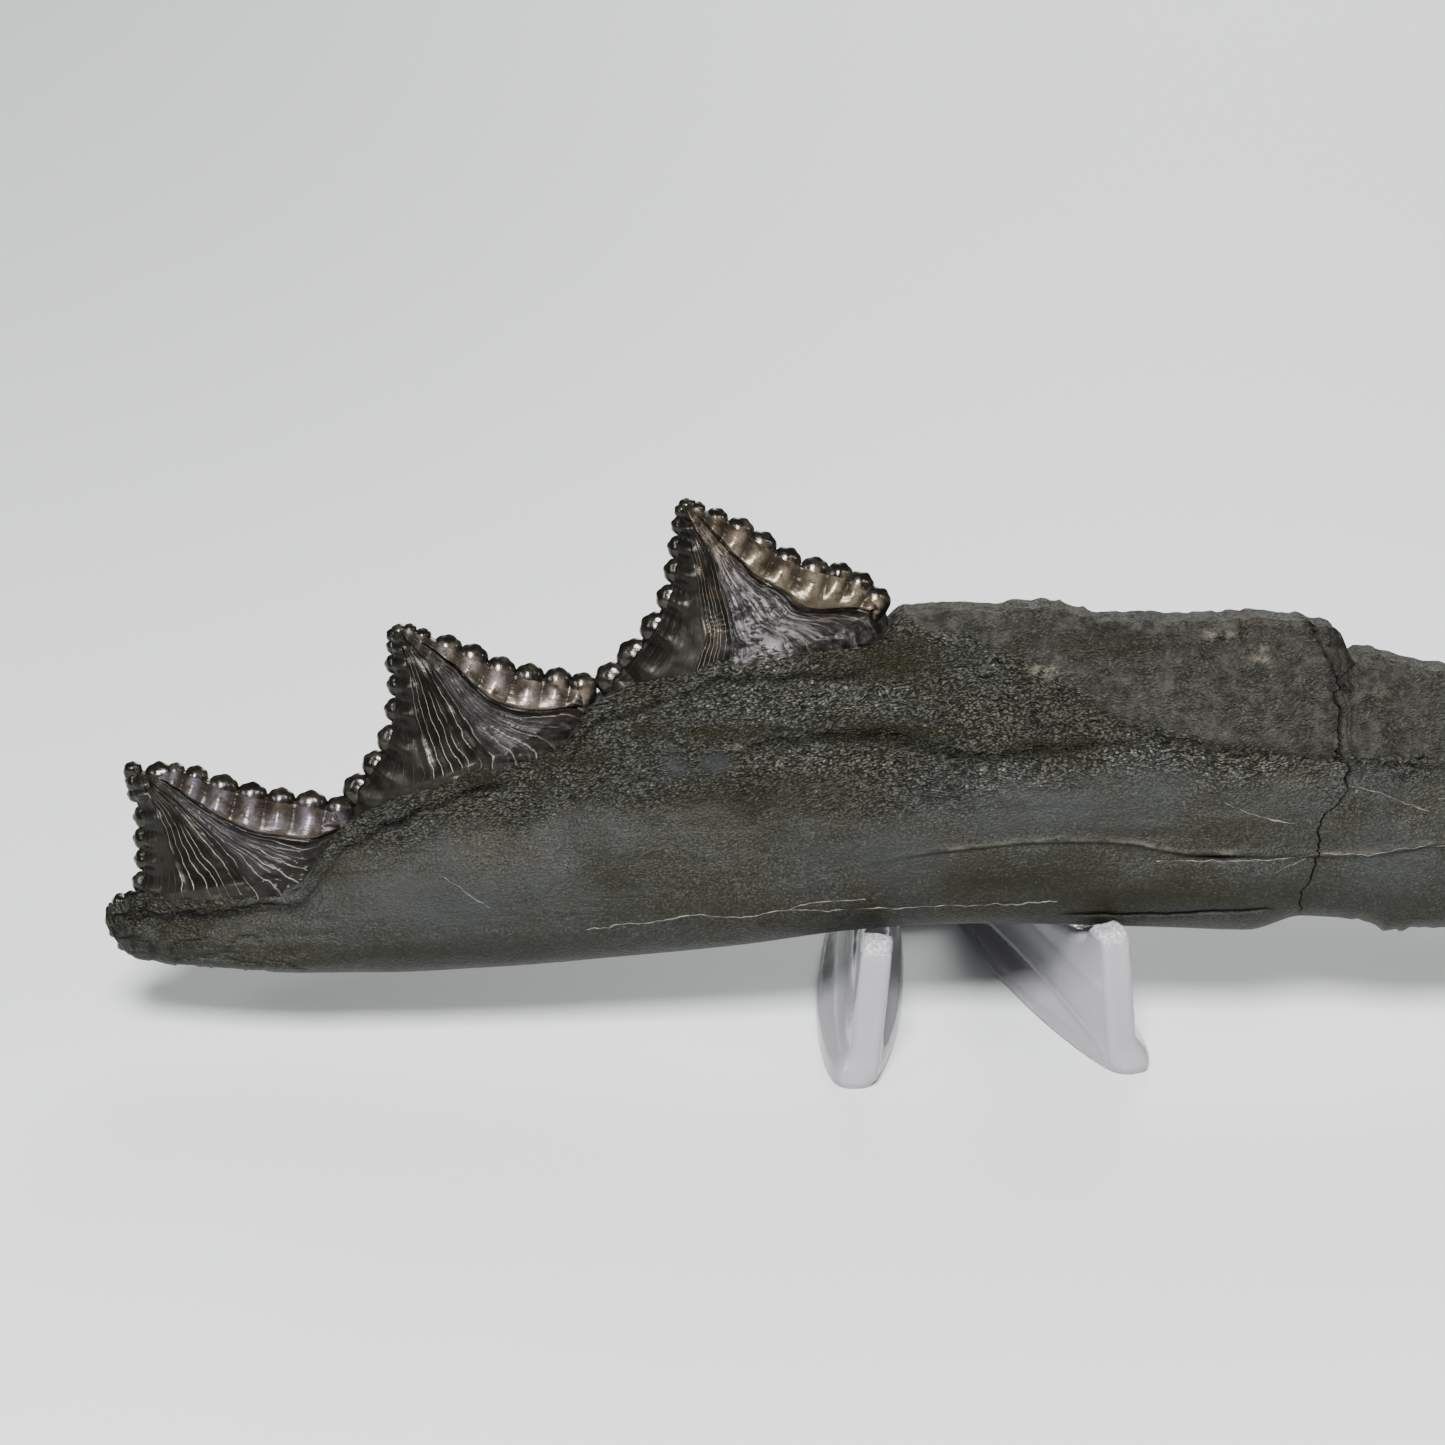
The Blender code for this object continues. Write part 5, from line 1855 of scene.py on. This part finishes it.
    def build(self, material: Material) -> Object:
        """Makes the stand as one moulding.

        Args:
            material: its finish.

        Returns:
            The finished object, in place.
        """
        whole = bpy.data.meshes.new("stand_parts")
        joined = bmesh.new()
        solids = [make(side) for side in (-1, 1) for make in (self.make_web, self.make_pad)]
        for solid in solids + [self.make_bridge()]:
            solid.to_mesh(whole)
            joined.from_mesh(whole)
            solid.free()
        joined.to_mesh(whole)
        joined.free()
        rough = link("stand_parts", whole)
        remesh = rough.modifiers.new("fuse", "REMESH")
        remesh.mode = "VOXEL"
        remesh.voxel_size = self.voxel * MM
        soften = rough.modifiers.new("soften", "SMOOTH")
        soften.factor = 0.5
        soften.iterations = 9
        mesh = plain_mesh(rough)
        obj = link("clear_stand", mesh)
        self.place(mesh)
        self.scuff(mesh)
        mesh.materials.clear()
        mesh.materials.append(material)
        mesh.shade_smooth()
        return obj

    def place(self, mesh: Mesh) -> None:
        """Centres the stand on the frame's own one and lays its feet flat on the floor.

        Args:
            mesh: is changed.
        """
        points = read_points(mesh)
        low, high = (np.array(corner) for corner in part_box("display_stand"))
        centre = (points.min(axis=0) + points.max(axis=0)) / 2
        points[:, :2] += ((low + high) / 2 - centre)[:2]
        points[:, 2][points[:, 2] < self.sole * MM] = 0.0
        write_points(mesh, points)

    def scuff(self, mesh: Mesh) -> None:
        """Marks and roughens the ground tops of the front lips.

        Args:
            mesh: is changed.
        """
        grit = Grit(23)
        points = read_points(mesh)
        front = smooth_step((-24.0 - points[:, 1] / MM) / 3)
        amount = smooth_step((points[:, 2] / MM - 20.6) / 1.6) * front
        set_field(mesh, "scuff", amount)
        rough = grit.layers(*(points.T / MM))
        points[:, 2] -= np.abs(rough) * self.scuff_depth * MM * amount
        write_points(mesh, points)


@dataclass
class Studio:
    """Pale floor, soft lamps and the photograph's camera."""

    elevation: float = math.radians(20.0)
    distance: float = CAMERA_DISTANCE
    frame_width: float = 216.75
    aim: tuple[float, float, float] = (-41.3, -16.3, 50.1)
    sensor: float = 36.0
    floor_color: Color = (0.55, 0.563, 0.561)
    floor_reach: float = 12.0

    def camera(self) -> Object:
        """Sets up the camera, level, looking down at the jaw's face.

        Returns:
            The scene's camera.
        """
        data = bpy.data.cameras.new("photo_camera")
        data.sensor_width = self.sensor
        data.lens = self.sensor * self.distance / self.frame_width
        data.clip_start = 0.01
        data.clip_end = 20.0
        obj = link("photo_camera", data)
        look = Vector((0.0, math.cos(self.elevation), -math.sin(self.elevation)))
        obj.location = Vector(self.aim) * MM - look * self.distance * MM
        obj.rotation_euler = look.to_track_quat("-Z", "Y").to_euler()
        bpy.context.scene.camera = obj
        return obj

    def floor(self) -> Object:
        """Makes the wide plain floor.

        Returns:
            The floor.
        """
        material = bpy.data.materials.new("studio_paper")
        material.use_nodes = True
        shader = material.node_tree.nodes["Principled BSDF"]
        shader.inputs["Base Color"].default_value = (*self.floor_color, 1.0)
        shader.inputs["Roughness"].default_value = 0.6
        reach = self.floor_reach
        mesh = bpy.data.meshes.new("studio_floor")
        mesh.from_pydata([(-reach, -reach, 0), (reach, -reach, 0), (reach, reach, 0), (-reach, reach, 0)],
                         [], [(0, 1, 2, 3)])
        mesh.materials.append(material)
        return link("studio_floor", mesh)

    def lamp(self, name: str, place: tuple, aim: tuple, size: float, power: float,
             color: Color = (1.0, 1.0, 1.0)) -> Object:
        """Adds a square soft lamp.

        Args:
            name: of the lamp.
            place: where it stands, in metres.
            aim: what it looks at, in metres.
            size: of its side, in metres.
            power: in watts.
            color: of its light.

        Returns:
            The lamp.
        """
        data = bpy.data.lights.new(name, "AREA")
        data.size = size
        data.energy = power
        data.color = color
        obj = link(name, data)
        obj.location = place
        obj.rotation_euler = (Vector(aim) - Vector(place)).to_track_quat("-Z", "Y").to_euler()
        return obj

    def build(self) -> None:
        """Makes the floor, the lamps, the sky light and the camera."""
        self.floor()
        self.camera()
        self.lamp("key_lamp", (-0.10, -0.95, 0.95), (-0.02, 0.10, 0.0), 0.36, 66.0)
        self.lamp("side_lamp", (0.80, -0.60, 0.75), (0.0, 0.0, 0.04), 0.22, 3.0, (1.0, 0.97, 0.93))
        self.lamp("fill_lamp", (-0.85, -0.65, 0.70), (0.0, 0.0, 0.04), 0.28, 3.5, (0.95, 0.98, 1.0))
        self.lamp("far_lamp", (0.15, 1.60, 1.50), (0.10, 1.50, 0.0), 1.20, 10.0, (0.96, 1.0, 0.97))
        self.lamp("back_lamp", (0.20, 1.25, 0.62), (0.0, 0.0, 0.05), 0.60, 12.0, (0.97, 1.0, 0.98))
        self.lamp("near_lamp", (0.10, -2.60, 1.90), (0.10, -2.50, 0.0), 1.40, 20.0)
        world = bpy.data.worlds.new("studio_air")
        world.use_nodes = True
        background = world.node_tree.nodes["Background"]
        background.inputs["Color"].default_value = (0.86, 0.90, 0.90, 1.0)
        background.inputs["Strength"].default_value = 0.11
        bpy.context.scene.world = world


CROWNS = [
    Crown("front", (-130.5, 25.6),
          [(-131.6, 22.8), (-131.3, 20.4), (-130.6, 17.0), (-130.7, 13.8), (-130.6, 10.7), (-130.9, 7.7),
           (-132.6, 5.0)],
          [(-126.1, 25.9), (-123.6, 25.6), (-120.3, 25.2), (-116.0, 23.9), (-111.7, 22.7), (-107.7, 21.9),
           (-103.0, 21.5), (-98.7, 20.6)],
          [(-132.0, 3.6), (-124.0, 5.0), (-112.0, 6.6), (-103.0, 9.4), (-98.0, 15.5)],
          (Fold(0.30, ((-129.0, 22.5), (-126.5, 17.0), (-125.0, 12.0), (-123.5, 7.0))),
           Fold(0.55, ((-127.5, 22.8), (-123.5, 19.2), (-119.0, 14.6), (-115.5, 10.5), (-113.0, 7.5))),
           Fold(0.75, ((-125.5, 22.5), (-121.5, 19.5), (-117.0, 16.6), (-113.0, 14.6), (-108.0, 13.7),
                       (-103.0, 13.4), (-99.0, 15.6)))), 101,
          EnamelFinish("graphite_enamel_front", brown=(0.006, 0.005, 0.004),
                       silver=(0.013, 0.0115, 0.015), young=(0.022, 0.019, 0.018),
                       lit_band=(0.075, 0.066, 0.077), lobe_lines=0.45, lobe_rough=0.30, metallic=0.35),
          DenticleFinish("denticle_enamel_front", amber_and_highlight=(0.055, 0.048, 0.053))),
    Crown("middle", (-90.1, 46.5),
          [(-91.8, 45.4), (-92.0, 43.2), (-92.3, 40.5), (-92.1, 37.3), (-92.5, 33.9), (-93.6, 29.9),
           (-95.6, 26.5), (-98.4, 23.1)],
          [(-88.2, 46.7), (-86.0, 46.0), (-82.0, 45.1), (-77.9, 43.6), (-74.0, 41.8), (-69.9, 40.8),
           (-65.9, 40.2), (-62.1, 39.4)],
          [(-97.6, 15.5), (-90.0, 19.0), (-80.0, 23.5), (-69.0, 26.5), (-60.0, 30.0)],
          (Fold(0.30, ((-89.4, 42.5), (-88.4, 38.0), (-87.7, 33.0), (-86.8, 28.5), (-85.3, 24.0))),
           Fold(0.55, ((-88.0, 43.3), (-84.5, 39.4), (-81.5, 34.5), (-79.0, 30.3), (-76.5, 27.0))),
           Fold(0.75, ((-86.8, 43.8), (-82.0, 40.4), (-78.5, 36.6), (-75.5, 34.2), (-71.5, 33.2),
                       (-66.0, 33.4), (-60.5, 34.2)))), 103,
          EnamelFinish("graphite_enamel_middle", brown=(0.006, 0.005, 0.004),
                       silver=(0.032, 0.030, 0.031), young=(0.050, 0.043, 0.036),
                       lit_band=(0.150, 0.130, 0.116), lobe_lines=0.30, lobe_rough=0.22),
          DenticleFinish("denticle_enamel_middle", amber_and_highlight=(0.110, 0.088, 0.066))),
    Crown("rear", (-47.1, 65.4),
          [(-48.7, 64.1), (-49.4, 61.6), (-50.0, 58.4), (-50.6, 54.9), (-51.6, 51.3), (-53.8, 47.4),
           (-57.0, 43.6), (-60.2, 40.2)],
          [(-45.0, 65.0), (-41.9, 64.1), (-38.0, 62.6), (-34.4, 60.4), (-31.0, 58.2), (-27.1, 56.8),
           (-23.5, 56.0), (-19.9, 54.4), (-17.0, 51.8)],
          [(-59.6, 31.5), (-52.0, 36.0), (-41.0, 40.0), (-28.0, 41.5), (-15.0, 43.0)],
          (Fold(0.30, ((-47.2, 61.5), (-46.2, 57.0), (-45.2, 52.0), (-44.6, 48.0), (-44.0, 44.5))),
           Fold(0.55, ((-45.8, 61.0), (-43.3, 57.0), (-41.8, 52.0), (-40.8, 48.0), (-39.8, 43.8))),
           Fold(0.75, ((-44.2, 61.6), (-41.6, 58.6), (-38.5, 55.0), (-35.8, 52.9), (-33.0, 51.4),
                       (-30.5, 49.2), (-28.0, 48.4), (-22.5, 48.8), (-17.5, 48.4)))), 107,
          EnamelFinish("graphite_enamel_rear", silver=(0.098, 0.092, 0.093), lit_band=(0.122, 0.100, 0.071)),
          DenticleFinish("denticle_enamel_rear", amber_and_highlight=(0.140, 0.106, 0.068))),
]


def hand_over(obj: Object, node: str) -> None:
    """Tells the frame what a finished piece stands for, and logs it.

    Args:
        obj: the piece.
        node: of the frame that it takes the place of.
    """
    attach(obj, "root")
    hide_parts(node)
    LOG.info("%s: %d faces", obj.name, len(obj.data.polygons))


def main() -> None:
    """Builds every piece in order."""
    logging.basicConfig(level=logging.INFO, format="%(name)s %(message)s")
    plane = JawPlane()
    root = Root()
    hand_over(root.build(plane, RootFinish().make()), "jaw")
    for crown in CROWNS:
        hand_over(crown.build(plane, crown.enamel.make()), "jaw")
    for row in DenticleRows().build(CROWNS, plane):
        hand_over(row, "jaw")
    hand_over(Veins().build(root, plane, VeinFinish().make()), "jaw")
    hand_over(DisplayStand().build(PlasticFinish().make()), "display_stand")
    Studio().build()


if __name__ == "__main__":
    main()
